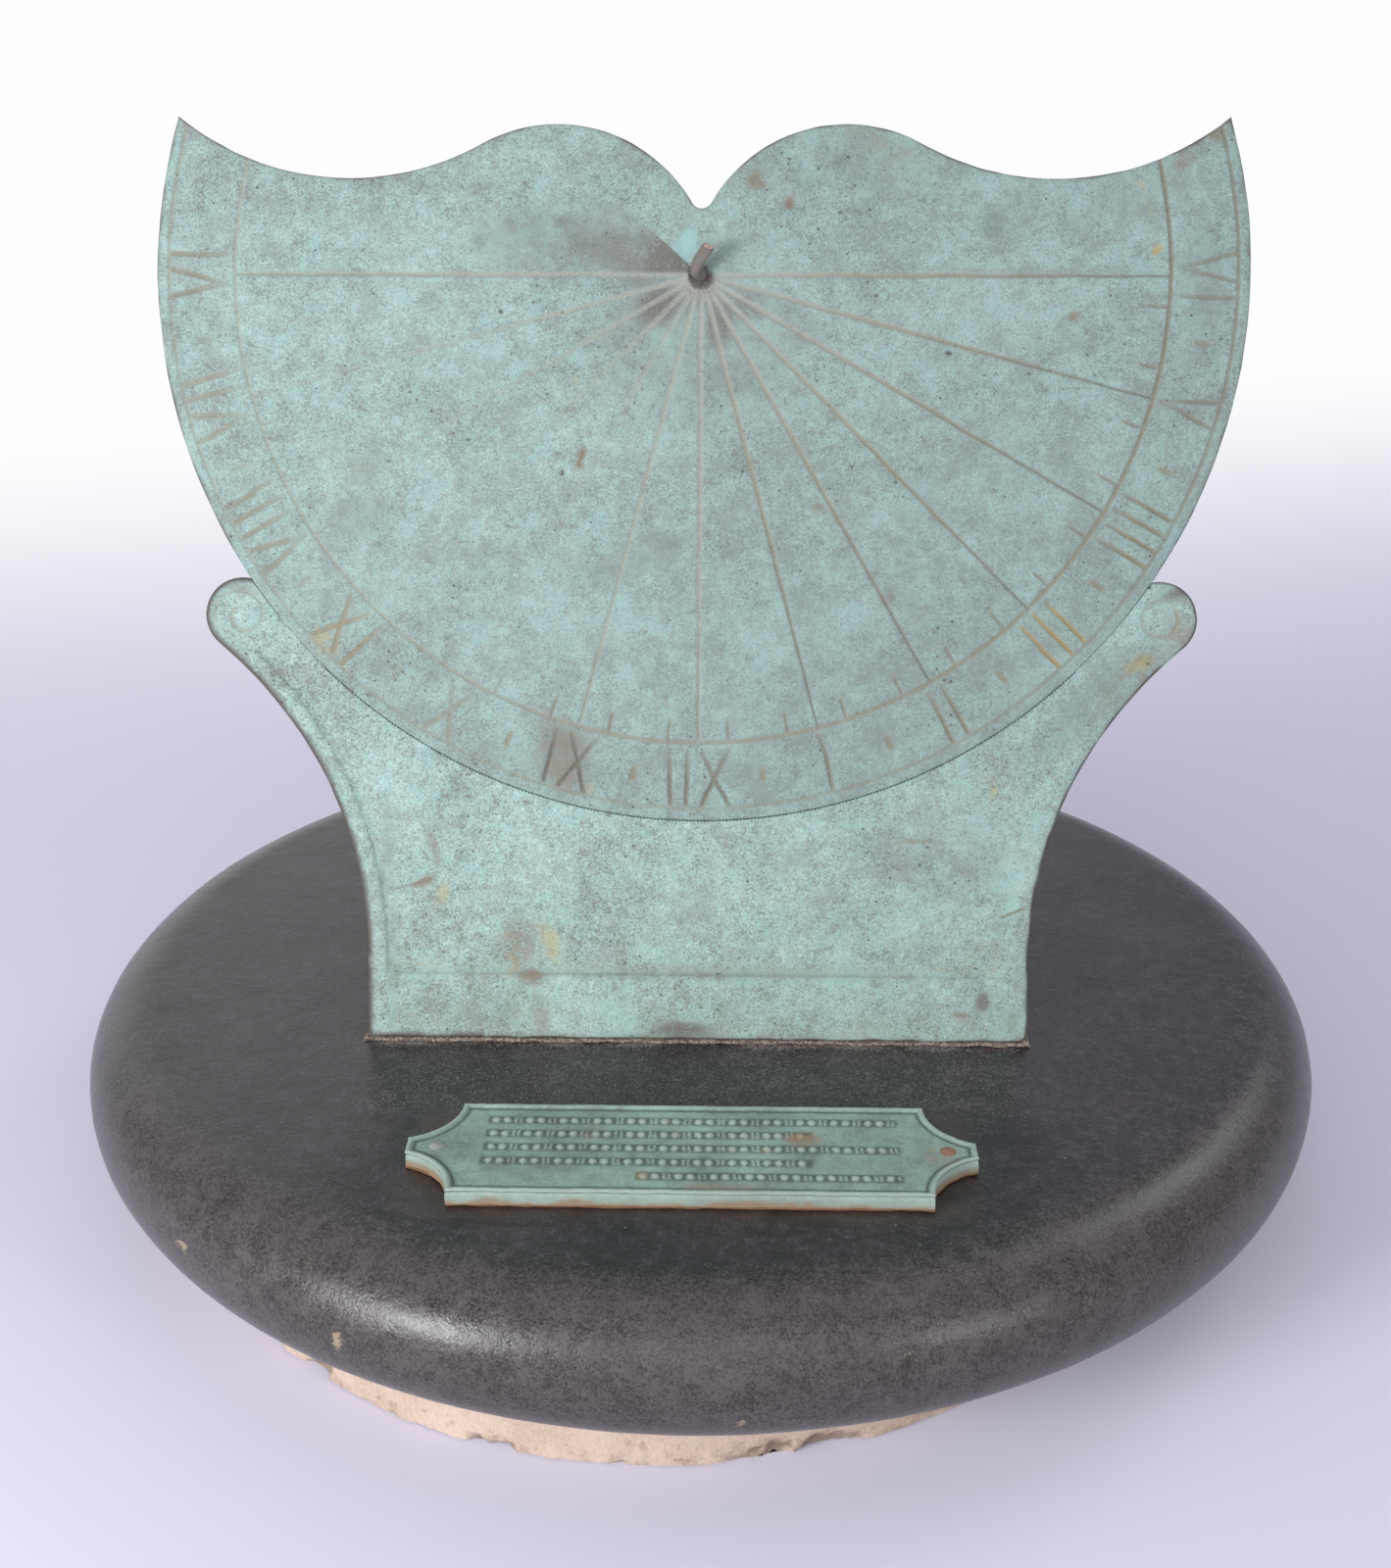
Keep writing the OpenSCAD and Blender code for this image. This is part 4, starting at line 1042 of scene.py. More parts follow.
class SUNDIAL_OT_dial(bpy.types.Operator):
    """Adds the engraved bronze dial"""
    bl_idname = "sundial.dial"
    bl_label = "Dial"

    # Roman numerals from six in the morning to six in the evening
    NUMERALS = ("VI", "VII", "VIII", "IX", "X", "XI", "XII", "I", "II", "III", "IIII", "V", "VI")
    # Width that each letter takes, and where its strokes start and end across it
    ROOM = {"I": 4.7, "V": 11, "X": 11}
    STROKES = {"I": ((0, 0),), "V": ((0, -3.6), (0, 3.6)), "X": ((-3.6, 3.6), (3.6, -3.6))}
    # How strongly each hour line reads from the root to its end
    STRENGTH = {-6: (0.8, 1, 1, 0.9), -5: (1, 0.8, 0.35, 0.25), -4: (1, 0.65, 0.25, 0.2),
                -3: (1, 0.45, 0.25, 0.4), -2: (0.95, 0.4, 0.25, 0.25), -1: (1, 0.8, 0.75, 0.9),
                0: (1, 0.95, 0.85, 0.95)}
    # Dirt in each numeral, from pale to dark, and how yellow it is
    NUMERAL_TONE = {-6: 0.6, -5: 0.5, -4: 0.55, -3: 0.5, -2: 0.55, -1: 0.95, 0: 0.8, 1: 0.75,
                    2: 0.7, 3: 0.5, 4: 0.7, 5: 0.7, 6: 0.65}
    NUMERAL_OCHRE = {-6: 0.2, -5: 0.2, -4: 0.15, -3: 0.45, -2: 0.25, -1: 0.2, 2: 0.3, 3: 1.0,
                     4: 0.5, 5: 0.2}
    # How deep the worn numerals are, as a share of the others
    NUMERAL_DEPTH = {-6: 0.9, -5: 0.75, -4: 0.85, -2: 0.65, 5: 0.9, 6: 0.85}
    # Pits: (across, up, radius, depth)
    PITS = (
        (-55, -10, 0.9, 0.6), (-45, -3, 0.6, 0.4), (68, -21, 1.2, 0.6), (-64, -45, 0.8, 0.5),
        (-38, -54, 1.1, 0.6), (102, -11, 1.6, 0.5), (76, -35, 0.6, 0.4), (101, -50, 0.8, 0.5),
        (33, -63, 1.2, 0.35), (70, -19, 0.7, 0.5), (-109, -33, 0.7, 0.4), (40, -31, 0.5, 0.4),
        (17, 25, 1.5, 0.3), (24, 19, 1.3, 0.3), (112, -22, 0.8, 0.4), (59, 31, 0.7, 0.4), (46, 34, 0.6, 0.4),
        (52, 27, 0.5, 0.4), (38, 30, 0.6, 0.4), (-10, 30, 0.5, 0.4))
    # Stains on the face: (across, up, half width, half height, turn, strength)
    BROWN = (
        (-33, -50, 1.7, 4.2, -12, 0.95), (15, 25, 3.4, 4, 10, 0.75), (24, 19, 1.5, 2.2, 0, 0.9),
        (102, -11, 2, 1.6, 0, 0.7), (33, -63, 2.4, 1.4, -20, 0.6), (52, -88, 2.6, 3, 0, 0.5),
        (-37, -133, 8, 11, 0, 0.6), (-42, -124, 4, 4, 20, 0.5), (140, 38, 3.5, 3, 20, 0.65),
        (131, 31, 6, 2.4, 38, 0.5), (-141, 40, 2, 3, 30, 0.6), (-137, 17, 2.4, 0.9, -60, 0.6),
        (48, 36, 14, 4, -20, 0.4), (60, -92, 5, 7, 30, 0.3), (-92, -66, 6, 5, 20, 0.25),
        (-95, -52, 5, 2.5, 0, 0.4), (-75, -3.2, 30, 1, 0, 0.25), (94, 1.4, 34, 1.1, 0, 0.4))
    # The smudge right of the rod, at (5, 5), is the rod's painted shadow; the rest is dirt
    SMUDGE = (
        (0, -3, 6, 5, 0, 1.0), (-21, 6, 19, 7, -10, 0.66), (-40, 9, 26, 10, 0, 0.46),
        (1, -10, 15, 13, 0, 0.5), (-11, -8, 9, 6, 30, 0.85), (5, -13, 5, 9, -15, 0.75),
        (12, -8, 8, 5, -20, 0.6), (-18, -77, 17, 5, 24, 0.36), (5, 5, 6, 6, 40, 0.5),
        (-12, -2, 14, 2.6, 0, 0.5), (0, -20, 30, 24, 0, 0.3), (46, 30, 20, 9, -15, 0.22),
        (24, 26, 9, 9, 0, 0.15), (-37, -132, 7.5, 10, 0, 0.42), (-90, -52, 7, 4, 25, 0.22),
        (68, -21, 3, 4, 0, 0.3), (137, -3, 6, 20, 0, 0.28), (120, 22, 16, 7, 15, 0.22),
        (-96, -66, 9, 7, 30, 0.28), (80, -48, 12, 10, 0, 0.18), (-135, -8, 4, 16, 0, 0.12))
    BRIGHT = (
        (-3.5, 8.5, 3.2, 5.5, -12, 0.95), (40, -95, 14, 6, 40, 0.35), (-60, -25, 24, 9, 10, 0.4),
        (90, -30, 10, 8, 30, 0.3), (-88, -84, 12, 7, -35, 0.3), (60, -60, 9, 6, 50, 0.4),
        (-10, -112, 20, 5, 0, 0.25))
    GRIME = (
        (79, 14, 6, 5, 0, 0.7), (-95, 15, 22, 9, 0, 0.3), (30, -60, 26, 20, -20, 0.45),
        (-45, -70, 20, 14, 10, 0.35), (110, -60, 12, 9, 30, 0.4), (128, -45, 7, 9, 20, 0.5),
        (-105, -95, 9, 9, 0, 0.4), (-62, 22, 18, 6, 0, 0.25), (5, -100, 30, 9, 0, 0.25))
    OCHRE = (
        (124, 7, 1.4, 1.8, 0, 0.9), (121, 21, 1, 7.5, 20, 0.5), (-104, -101, 3.5, 6, 30, 0.5),
        (-30, -141, 2.4, 2, 0, 0.4), (9, -35, 2, 1.2, 0, 0.35), (-34, -28, 1.6, 1.4, 0, 0.45),
        (-5, -41, 1.5, 2.5, 0, 0.3))

    def grooves(self, dial):
        """All cuts in the dial."""
        chapter, rim = dial.radius - dial.chapter_inset, dial.radius - dial.rim_inset
        foot, head = chapter + dial.numeral_foot, rim - dial.numeral_head
        cuts = [Groove(arc((0, 0), chapter, -200, 20, 1.1), 1.7, 0.5, (0.1, 0.7),
                       fade=(0.75, 0.6, 0.7, 0.8, 0.85, 0.95, 1.0)),
                Groove(arc((0, 0), rim, -200, 20, 1.1), 1.5, 0.42, (0.3, 0.75),
                       fade=(0.7, 0.5, 0.45, 0.5, 0.7, 0.8))]
        for hour, word in zip(range(-6, 7), self.NUMERALS):
            across, out = ways(hour)
            cuts.append(Groove(line(out * dial.hour_start, out * chapter, 1.0), dial.groove_width,
                               dial.groove_depth, (0, 0.2) if hour < 1 else (0, 0.85),
                               fade=self.STRENGTH.get(hour, (1, 0.95, 0.9, 0.95)),
                               narrow=0.6 if hour < 1 else 0.45, seed=hour + 10))
            deep = self.NUMERAL_DEPTH.get(hour, 1)
            start = -sum(self.ROOM[letter] for letter in word) / 2
            for number, letter in enumerate(word):
                middle = start + self.ROOM[letter] / 2
                start += self.ROOM[letter]
                for low, high in self.STROKES[letter]:
                    path = line(across * (middle + low) + out * foot,
                                across * (middle + high) + out * head, 1.0)
                    cuts.append(Groove(path, dial.stroke_width * (1.2 if hour < -1 else 1),
                                       dial.stroke_depth * deep, self.NUMERAL_TONE[hour],
                                       self.NUMERAL_OCHRE.get(hour, 0),
                                       fade=[deep * share for share in (0.5, 0.95, 0.9)],
                                       wobble=0.28, seed=number + hour * 3 + 40))
        # Ticks at the quarters and lozenges at the halves
        for quarter in range(-25, 26):
            out = ways(quarter / 4)[1]
            if quarter % 2 and abs(quarter) < 24:
                faint = 0.35 if quarter < -5 else 0.8
                cuts.append(Groove(line(out * (chapter - dial.tick), out * chapter, 0.9), 1.3, 0.4,
                                   0.65, fade=(faint, faint), seed=quarter + 90))
            elif quarter % 4 == 2:
                middle = out * (foot + head) / 2
                faint = 0.5 if quarter < -9 else 0.9
                cuts.append(Groove(line(middle - out * 1.2, middle + out * 1.2, 0.6), 2.4, 0.4, 0.55,
                                   0.15, fade=(faint, faint), wobble=0, seed=quarter))
        return cuts

    def execute(self, context):
        size = sizes(context)
        dial, stand = size.dial, size.stand
        loop = dial_loop(dial, 0.9)
        # Only the upper edge is hand-finished; the round edge sits close in the stand
        free = -80
        loop = np.where(loop[:, 1:] > free, roomy(loop, 0.16, 3), loop)
        grooves = self.grooves(dial)
        draw = np.random.default_rng(4)
        pits = [*self.PITS, *scattered(draw, 110, (-140, 140), (-140, 38), (0.25, 0.5), (0.15, 0.3))]

        def height(points):
            radius = np.linalg.norm(points, axis=1)
            top = np.full(len(points), stand.relief)
            top += 0.1 * grain(points, 42, 1) + 0.05 * grain(points, 13, 2) + 0.02 * grain(points, 4, 3)
            top -= cut(points, grooves)[0] + dimples(points, pits)
            # The rim outside the fine circle is rubbed round
            top -= 0.3 * smooth_step(dial.radius - 2.2, dial.radius, radius)
            # Sunk and torn seat round the rod
            top -= 1.2 * np.clip((3.5 - radius) / 2, 0, 1)
            return top + 0.35 * smooth_step(7, 3.6, radius) * rough(points, 1.7, 8)

        def paint(points, part):
            flat, front = points[:, :2], part == 0
            radius = np.linalg.norm(flat, axis=1)
            turn = np.degrees(np.arctan2(flat[:, 1], flat[:, 0]))
            # The dark wedge left of the root ends in a sharp line
            wedge = smooth_step(137, 139.5, turn) * smooth_step(27, 13, radius) * smooth_step(184, 176, turn)
            clean = smooth_step(140, 137, turn) * smooth_step(95, 100, turn) * (radius < 26)
            smudge = np.maximum(blot(flat, self.SMUDGE) * (1 - 0.9 * clean), 0.85 * wedge)
            # Metal is bare on the edges and in the torn seat, and the larger pits are black inside
            bare = np.full(len(flat), 0.5)
            bare[front] = smooth_step(0.9, 0.1, nearest(flat[front], loop)) * np.where(
                flat[front, 1] > free, 0.75, 0.12) * (1 + 0.8 * rough(flat[front], 7, 17))
            torn = smooth_step(4.4, 2.6, radius) * (0.7 + 0.6 * grain(flat, 1.2, 19))
            bare = np.maximum(bare, np.clip(torn, 0, 1))
            black = [(x, y, r, 0.6 * r, 50 * x, 1) for x, y, r, _ in self.PITS[:5]]
            bare = np.maximum(bare, blot(flat, black) * front)
            # The dial is dirtier than the stand, and more so below; its grime also grows to the right as
            # painted shade
            grime_and_shade_film = 0.24 + 0.16 * smooth_step(-60, 60, flat[:, 0]) + 0.14 * smooth_step(-40, -90, flat[:, 1])
            return patina(self, flat, front, grooves, bare, smudge, grime_and_shade_film)

        rows = [groove.rows() for groove in grooves] + [pit_points(pits)]
        # Points round the seat and along the wedge's edge
        rows += [arc((0, 0), r, 0, 360, 0.7)[:-1] for r in (1.6, 2.6, 3.5, 4.4, 5.4, 6.4)]
        for turn in np.radians((135.5, 137.5, 139.5)):
            way = np.array((math.cos(turn), math.sin(turn)))
            rows.append(line(way * 7, way * 30, 0.8))
        plate(loop, height, stand.relief - dial.thickness, on_face(size), "dial",
              cast_bronze(context), "verdigris_bronze", "dial_leaf", rows, dial.mesh_step,
              ease=0.5, paint=paint)
        return {"FINISHED"}


class SUNDIAL_OT_stand(bpy.types.Operator):
    """Adds the flared bronze stand behind and below the dial"""
    bl_idname = "sundial.stand"
    bl_label = "Stand"

    PITS = (
        (-84, -146, 1.1, 0.5), (-83, -152, 0.9, 0.4), (60, -170, 1.3, 0.5), (66, -163, 0.8, 0.4),
        (55, -156, 1.1, 0.4), (-15, -186, 0.9, 0.5), (-20, -172, 0.6, 0.4), (40, -159, 0.9, 0.4))
    BROWN = (
        (-74, -158, 2.4, 8, 12, 0.6), (-77, -168, 4.5, 1.5, 25, 0.75), (-50, -185, 6, 10, 0, 0.55),
        (-46, -194, 5, 3, 0, 0.75), (-44, -204, 3.5, 7, 10, 0.5), (-52, -203, 4, 6, 0, 0.35),
        (48, -207, 10, 2.4, 0, 0.35), (74, -204, 3, 1.4, -20, 0.7), (62, -155, 7, 1, 8, 0.7),
        (80, -188, 8, 5, 0, 0.3), (0, -191.6, 84, 1.6, 0, 0.34), (-82, -205, 7, 4, 0, 0.3),
        (133, -97, 6, 5, 20, 0.5), (-130, -100, 6, 6, 0, 0.22), (118, -110, 16, 5, 42, 0.4),
        (0, -211, 92, 1.2, 0, 0.3), (-68, -206, 8, 3, 0, 0.3))
    SMUDGE = (
        (-4, -208.5, 9, 2.6, 0, 0.9), (-6, -209.5, 16, 1.6, 0, 0.6), (80, -200, 2.6, 3.4, 0, 0.85),
        (0, -193.4, 88, 0.7, 0, 0.55), (84, -172, 1.2, 16, 0, 0.25), (-87, -160, 2.5, 16, -4, 0.4),
        (-85, -190, 2, 18, 0, 0.35), (88, -205, 3, 3, 0, 0.5), (132, -86, 7, 2, 25, 0.8),
        (-127, -86, 8, 2, -10, 0.4), (137, -99, 2.4, 3.4, 0, 0.5), (70, -160, 22, 14, 0, 0.2))
    OCHRE = (
        (-72, -172, 3, 4.5, -15, 0.5), (-41, -185, 3.4, 8, 12, 0.5), (-52, -188, 4, 6, 0, 0.4),
        (82, -141, 1.8, 3.5, 0, 0.55), (122, -106, 5, 2.4, 30, 0.6), (-80, -191, 10, 1.2, 0, 0.4),
        (73, -191, 12, 1.2, 0, 0.35))
    GRIME = (
        (110, -116, 28, 8, 42, 0.6), (-10, -172, 28, 16, 0, 0.12), (35, -180, 16, 9, 0, 0.2),
        (-60, -204, 9, 5, 0, 0.2), (25, -204, 24, 5, 0, 0.2))
    BRIGHT = (
        (-60, -166, 12, 10, 0, 0.3), (60, -180, 12, 14, 0, 0.35), (20, -160, 18, 8, 0, 0.3),
        (86, -168, 3, 22, 2, 0.4))

    @staticmethod
    def outline(size, step):
        """Outline of the stand with its lap, open behind the dial, and the centres of its right
        hollow side and right volute."""
        stand, dial = size.stand, size.dial
        foot = stand.bed / math.cos(stand.lean) - dial.up
        half, soft = stand.width / 2, 2.5
        side_x = half + stand.side_radius
        volute = (stand.volute_x, -stand.volute_down)
        drop = math.sqrt((stand.side_radius + stand.volute_radius) ** 2 - (side_x - volute[0]) ** 2)
        side = (side_x, volute[1] - drop)
        touch = heading(side, volute)
        lap_top = volute[1] + stand.volute_radius - 1
        top_x = volute[0] - math.sqrt(stand.volute_radius ** 2 - (lap_top - volute[1]) ** 2)
        lap_r = dial.radius - stand.lap
        lap_x = math.sqrt(lap_r ** 2 - lap_top ** 2)
        lap_turn = heading((0, 0), (lap_x, lap_top))
        right = np.concatenate((
            line((0, foot), (half - soft, foot), step),
            arc((half - soft, foot + soft), soft, -90, 0, 0.6)[1:],
            line((half, foot + soft), (half, side[1]), step)[1:],
            arc(side, stand.side_radius, 180, touch, step)[1:],
            arc(volute, stand.volute_radius, touch - 180, heading(volute, (top_x, lap_top)), step)[1:],
            line((top_x, lap_top), (lap_x, lap_top), step)[1:],
            arc((0, 0), lap_r, lap_turn, -90, step * 1.6)[1:]))
        return closed(right, mirrored(right)), side, volute

    def execute(self, context):
        size = sizes(context)
        stand, dial = size.stand, size.dial
        loop, side, volute = self.outline(size, 1.1)
        loop = roomy(loop, 0.2, 11)
        # The patina has closed the play at the dial's edge
        seat = dial.radius - 0.05
        band_top = stand.band - dial.up
        # Left volute: a groove that winds in by one turn and a quarter. Right volute: a round eye
        wind = np.radians(np.linspace(205, -230, 60))
        reach = np.linspace(8.2, 2.4, 60)
        spiral = np.stack((-volute[0] + reach * np.cos(wind), volute[1] + reach * np.sin(wind)), axis=1)
        grooves = [Groove(spiral, 1.6, 0.6, 0.35, fade=(0.35, 0.6), wobble=0.15),
                   Groove(arc(volute, 4.9, 100, 395, 0.8), 1.6, 0.5, 0.4, 0.2, fade=(0.4, 0.7), wobble=0.25),
                   Groove(line((-85, -170), (-72, -166), 1), 0.8, 0.2, 0.8, fade=(0.7, 0)),
                   Groove(line((85, -176.5), (91, -174), 0.8), 1.0, 0.4, 0.7)]
        draw = np.random.default_rng(9)
        # Small pits all over, and larger ones of the casting along the left edge
        pits = [*self.PITS,
                *scattered(draw, 60, (-88, 88), (-210, -150), (0.25, 0.55), (0.15, 0.3)),
                *scattered(draw, 26, (-92, -86), (-208, -140), (0.4, 0.8), (0.2, 0.35))]

        def edge_gap(points):
            x, y = np.abs(points[:, 0]), points[:, 1]
            return np.where(y > side[1], np.hypot(x - side[0], y - side[1]) - stand.side_radius,
                            stand.width / 2 - x)

        def height(points):
            x, y = np.abs(points[:, 0]), points[:, 1]
            radius = np.linalg.norm(points, axis=1)
            border = smooth_step(stand.border + 0.6, stand.border - 0.5, edge_gap(points))
            band = smooth_step(band_top + 0.5, band_top - 0.5, y)
            eye = smooth_step(stand.volute_radius + 0.4, stand.volute_radius - 0.4,
                              np.hypot(x - volute[0], y - volute[1]))
            top = stand.relief * np.maximum(np.maximum(border, band), eye)
            # A cast hollow line runs along the band's upper edge
            top -= 0.25 * np.exp(-((y - band_top - 0.9) / 0.7) ** 2) * (x < stand.width / 2 - stand.border)
            top += 0.14 * grain(points, 30, 21) + 0.06 * grain(points, 9, 22) + 0.025 * grain(points, 3, 23)
            top -= cut(points, grooves)[0] + dimples(points, pits)
            lap = stand.relief - dial.thickness - 0.05
            # Patina has built up against the dial's edge
            top = np.maximum(top, 0.55 * smooth_step(seat + 2.4, seat + 0.3, radius))
            return np.where(radius < seat, lap, top)

        def paint(points, part):
            flat, front = points[:, :2], part == 0
            # Metal is bare on the edge, in a wider and more broken line on the left
            left = flat[front, 0] < -60
            ragged = 0.7 + 0.6 * grain(flat[front], 5, 27) + 0.5 * left
            bare = np.full(len(flat), 0.6)
            bare[front] = smooth_step(1.5 + 1.1 * left, 0.3, nearest(flat[front], loop)) * np.clip(
                ragged, 0.2, 1)
            crevice = smooth_step(seat + 1.3, seat + 0.1, np.linalg.norm(flat, axis=1)) * (flat[:, 1] < -70)
            smudge = np.maximum(blot(flat, self.SMUDGE), 0.06 * crevice * front)
            # A layer of grime that grows to the right as painted shade
            grime_and_shade_film = 0.02 + 0.16 * smooth_step(-30, 70, flat[:, 0])
            return patina(self, flat, front, grooves, bare, smudge, grime_and_shade_film)

        rows = [groove.rows() for groove in grooves] + [pit_points(pits)]
        rows += [arc((0, 0), seat + gap, -155, -25, 1.0) for gap in (-0.25, 0.05, 0.5, 1.2)]
        half = stand.width / 2
        for gap in (-0.5, 0, 0.6):
            rows.append(line((-half + 4, band_top + gap), (half - 4, band_top + gap), 1.2))
            for sign in (1, -1):
                rows.append(arc(side, stand.side_radius + stand.border + gap, 180, 132, 1.2) * (sign, 1))
                x = sign * (half - stand.border - gap)
                rows.append(line((x, -210), (x, side[1]), 1.2))
        plate(loop, height, -stand.thickness, on_face(size), "stand",
              cast_bronze(context), "verdigris_bronze", "stand_plate", rows, 1.8,
              ease=0.9, sway=0.12, paint=paint)
        return {"FINISHED"}


class SUNDIAL_OT_base(bpy.types.Operator):
    """Adds the dark slab, the foot stone and the mortar between them"""
    bl_idname = "sundial.base"
    bl_label = "Stone base"

    # Chips and dents on the rounded edge: (direction, turn of the rounding, radius, depth, beige)
    CHIPS = (
        (-134.5, 8, 2.2, 0.4, 0.9), (-117, 0, 2.4, 0.4, 0.85), (-74, 23, 1.5, 0.3, 0.7),
        (-59, 24, 3.2, 0.8, 0), (-150, 60, 1.6, 0.3, 0.2), (-64, 12, 1.0, 0.3, 0.5),
        (-115, 20, 1.3, 0.2, 0.5), (-86, -20, 1.2, 0.2, 0.6))

    def execute(self, context):
        size = sizes(context)
        base, top = size.base, slab_top(size)
        round_r = base.slab_thickness / 2
        flat_r = base.slab_diameter / 2 - round_r
        middle = base.slab_bottom + round_r
        turn = np.radians(np.linspace(90, -90, 46))
        upper = np.append(np.linspace(0, 50, 8)[:-1], np.linspace(50, flat_r, 64))
        profile = [(r, top) for r in upper] + [
            (flat_r + round_r * math.cos(a), middle + round_r * math.sin(a)) for a in turn[1:]]
        profile += [(r, base.slab_bottom) for r in (150, 138, 120, 90, 50, 0)]
        points, faces = turned(profile[::-1], 440)
        radius = np.hypot(points[:, 0], points[:, 1])
        lift = np.degrees(np.arctan2(points[:, 2] - middle, np.maximum(radius - flat_r, 1e-6)))
        lift = np.radians(np.where(radius < flat_r, 90, lift))[:, None]
        outward = points * (1, 1, 0) / np.maximum(radius, 1e-6)[:, None]
        normal = outward * np.cos(lift) + np.array((0, 0, 1)) * np.sin(lift)
        shoulder = np.exp(-((radius - flat_r - 1) / 9) ** 2) * (points[:, 2] > middle)
        shift = -0.12 + 0.12 * rough(points, 34, 51) + 0.05 * grain(points, 6, 52) * (0.4 + shoulder)
        beige = np.zeros(len(points))
        ragged = rough(points, 2.2, 55)
        for way, up, wide, deep, pale in self.CHIPS:
            a, b = math.radians(way), math.radians(up)
            reach = flat_r + round_r * math.cos(b)
            centre = np.array((reach * math.cos(a), reach * math.sin(a), middle + round_r * math.sin(b)))
            gap = np.linalg.norm(points - centre, axis=1) / wide + 0.35 * ragged
            shift -= deep * smooth_step(1.0, 0.4, gap)
            beige = np.maximum(beige, pale * smooth_step(1.0, 0.6, gap))
        lower = points[:, 2] < base.slab_bottom + 0.5
        points = points + normal * np.where(lower, 0, shift)[:, None]
        # Brown haze round the plaque and in front of the plate, and a little everywhere
        flat, above = points[:, :2], points[:, 2] > middle
        side = np.abs(flat[:, 0])
        plaque, stand = size.plaque, size.stand
        out_x = np.maximum(side - plaque.width / 2 + 6, 0)
        out_y = np.maximum(np.abs(flat[:, 1] + plaque.front) - plaque.depth / 2 + 1, 0)
        before = np.abs(flat[:, 1] + stand.front + 4) + np.maximum(side - 92, 0)
        haze = np.maximum(smooth_step(11, 1, np.hypot(out_x, out_y)), 0.5 * smooth_step(16, 2, before))
        haze = np.maximum(haze, 0.28)
        # The rim is rubbed pale, most of all in front, where the pale also stands for a painted reflection of
        # the bright room on the rounded edge, and dust lies between the plate and the plaque
        front = smooth_step(0.3, -0.8, points[:, 1] / base.slab_diameter * 2)
        rubbed = 0.2 * shoulder + 0.05 * front + 0.75 * smooth_step(flat_r - 8, flat_r + 12, radius) * (
            0.4 + 0.6 * front)
        dusty = smooth_step(100, 80, side) * smooth_step(-99, -88, flat[:, 1]) * smooth_step(
            -stand.front + 2, -stand.front - 2, flat[:, 1])
        rubbed = np.clip(rubbed + 0.42 * dusty * above, 0, 1)
        # Gritty line along the foot of the plate
        ahead, half = -stand.front - flat[:, 1], stand.width / 2
        gritty = smooth_step(-1, 0.5, ahead) * smooth_step(5, 1.0, ahead) * smooth_step(
            half + 2, half - 4, side)
        dust = np.clip(gritty * (0.55 + 0.6 * rough(flat, 9, 57)) + 0.36 * dusty, 0, 1)
        wear = np.stack((rubbed, haze, beige, dust * above), axis=1)
        colours = context.scene.sundial_colours
        shell("slab", points, faces, surface("Dark basalt, honed", honed_stone, colours), "dark_stone",
              "base_slab", {"wear": wear}, crease=60)
        self.foot(base, surface("Sandstone, sawn and weathered", sandstone, colours))
        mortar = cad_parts["foot_mortar"]
        mortar.material_slots[0].material = surface(
            "Lime mortar, raked", gritty_filler, "#8f8171", "#b5a691", "#d8cdbd", 0.15)
        return {"FINISHED"}

    def foot(self, base, material):
        """Sandstone disc with a rubbed upper edge and a broken lower one."""
        r, high = base.foot_diameter / 2, base.foot_height
        profile = [(k, 0) for k in (0, 60, 110, 125, r - 6, r - 3, r - 1.5)]
        profile += [(r - 0.3, z) for z in np.linspace(0.5, high - 0.8, 24)]
        profile += [(r - 1.2, high), (r - 4, high), (r - 12, high), (60, high), (0, high)]
        points, faces = turned(profile, 560, (-base.foot_left, -base.foot_front))
        outward = points[:, :2] + (base.foot_left, base.foot_front)
        radius = np.hypot(*outward.T)
        outward = outward / np.maximum(radius, 1e-6)[:, None]
        # Bites out of the lower edge, a rough skin, and an underside that lifts at the edge
        squat = points * (1, 1, 0.8)
        bite = smooth_step(0.05, 0.85, rough(squat, 16, 61) * 0.7 + rough(squat, 4.5, 63) * 0.45)
        low = smooth_step(9.5, 0.5, points[:, 2] + 2.5 * grain(squat, 22, 66))
        skin = 0.25 * rough(squat, 5, 67) + 0.12 * grain(squat, 1.6, 69)
        shift = -base.foot_raggedness * bite * low - 0.3 + skin * (0.5 + low)
        shift *= smooth_step(r - 14, r - 5, radius)
        points[:, :2] += outward * shift[:, None]
        lifted = 1.2 * smooth_step(r - 12, r - 4, radius) * np.clip(rough(squat, 7, 64), 0, 1)
        points[:, 2] += np.where(points[:, 2] < 0.2, lifted, 0)
        # Dirt in the broken lower edge, and painted shade in a band along the top under the slab's overhang
        dirt = 0.95 * low * (0.35 + 0.8 * bite) + 0.3 * smooth_step(high - 3, high, points[:, 2])
        wear = np.stack((np.clip(dirt, 0, 1), bite, low, np.ones(len(points))), axis=1)
        shell("foot", points, faces, material, "foot_sandstone", "foot_stone", {"wear": wear}, crease=60)


